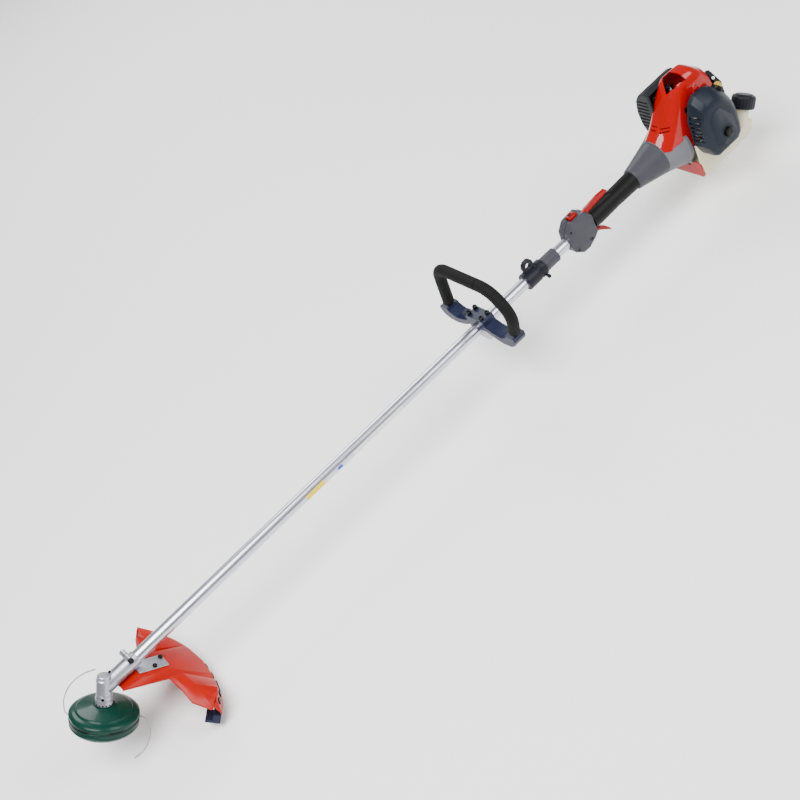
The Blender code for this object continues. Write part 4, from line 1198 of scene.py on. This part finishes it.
        def lobed(r: np.ndarray, a: np.ndarray, z: np.ndarray) -> np.ndarray:
            """Five soft lobes outside the stem."""
            return np.where(r > 6.0, r * (1 + 0.06 * np.cos(5 * a)), r)

        bench.stand_in("cover_knob", revolved(profile, 100, place, lobed), BLACK_PA)

    def _handle_plug(self) -> None:
        """A pale plug in the middle of the starter's handle, over the rope's knot."""
        facing = Vector(self.handle_facing)
        centre = Vector(self.handle_at) + facing * self.handle_half
        turn = facing.to_track_quat("Z", "Y").to_matrix().to_4x4()
        place = self.bench.shaft @ Matrix.Translation(centre) @ turn
        dome = rounded([(0, -1), (3.4, -1), (3.4, 1.0), (0, 1.9)], 0.6)
        self.bench.piece("handle_plug", revolved(dome, 28, place), FILM_WHITE, "pull_handle")


# --- The studio ----------------------------------------------------------------------------------
@dataclass
class Studio:
    """Camera, soft lights and a pale floor."""

    bench: Bench
    lens: float = 67.5
    camera_at: tuple = (12.8, -2114.4, 1827.6)
    floor_reach: float = 9.0
    floor_drop: float = 0.001
    sky: float = 0.35

    def build(self) -> None:
        """Set the camera where the tool is seen from above its near side, and light it from all round."""
        self._camera()
        self._floor()
        self._lights()

    def _camera(self) -> None:
        """The camera, from its place and axes in the shaft's frame."""
        right, up = (0.696, -0.5948, -0.4021), (0.6689, 0.3336, 0.6643)
        back = (-0.261, -0.7314, 0.6301)
        turn = Matrix((right, up, back)).transposed().to_4x4()
        data = bpy.data.cameras.new("camera")
        data.lens, data.sensor_width, data.clip_end = self.lens, 36.0, 50.0
        camera = add_object("camera", data)
        camera.matrix_world = Matrix.Translation(self.bench.shaft @ Vector(self.camera_at)) @ turn
        bpy.context.scene.camera = camera

    def _floor(self) -> None:
        """A wide plain floor, a hair below the tool."""
        mesh = bpy.data.meshes.new("floor")
        corners = [(x * self.floor_reach, y * self.floor_reach, -self.floor_drop)
                   for x, y in ((-1, -1), (1, -1), (1, 1), (-1, 1))]
        mesh.from_pydata(corners, [], [(0, 1, 2, 3)])
        floor = add_object("floor", mesh)
        paint = bpy.data.materials.new("white_paper")
        paint.use_nodes = True
        shader = paint.node_tree.nodes["Principled BSDF"]
        shader.inputs["Base Color"].default_value = (0.97, 0.97, 0.97, 1)
        shader.inputs["Roughness"].default_value = 0.9
        mesh.materials.append(paint)
        floor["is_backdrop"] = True

    def _lights(self) -> None:
        """A white sky, a large key light, a weaker fill and a rim light from behind."""
        world = bpy.data.worlds.new("studio")
        world.use_nodes = True
        sky = world.node_tree.nodes["Background"]
        sky.inputs["Color"].default_value = (1, 1, 1, 1)
        sky.inputs["Strength"].default_value = self.sky
        bpy.context.scene.world = world
        for name, spot, power, size in (
            ("key", (-1.4, -1.0, 3.4), 260.0, 2.2), ("fill", (2.2, -2.4, 2.6), 130.0, 2.4),
            ("rim", (0.8, 2.8, 2.4), 90.0, 1.8),
        ):
            data = bpy.data.lights.new(name, "AREA")
            data.energy, data.size = power, size
            light = add_object(name, data)
            light.matrix_world = (
                Matrix.Translation(spot) @ (-Vector(spot)).to_track_quat("-Z", "Y").to_matrix().to_4x4()
            )


def main() -> None:
    """Build every sub-assembly round the frame."""
    logging.basicConfig(level=logging.INFO, format="%(name)s: %(message)s")
    for obj in list(bpy.data.objects):
        bpy.data.objects.remove(obj, do_unlink=True)
    bench = Bench()
    Studio(bench).build()
    for assembly in (LineHead, GearHead, Guard, Shaft, LoopHandle, HarnessClamp, Throttle, Engine):
        assembly(bench).build()


if __name__ == "__main__":
    main()
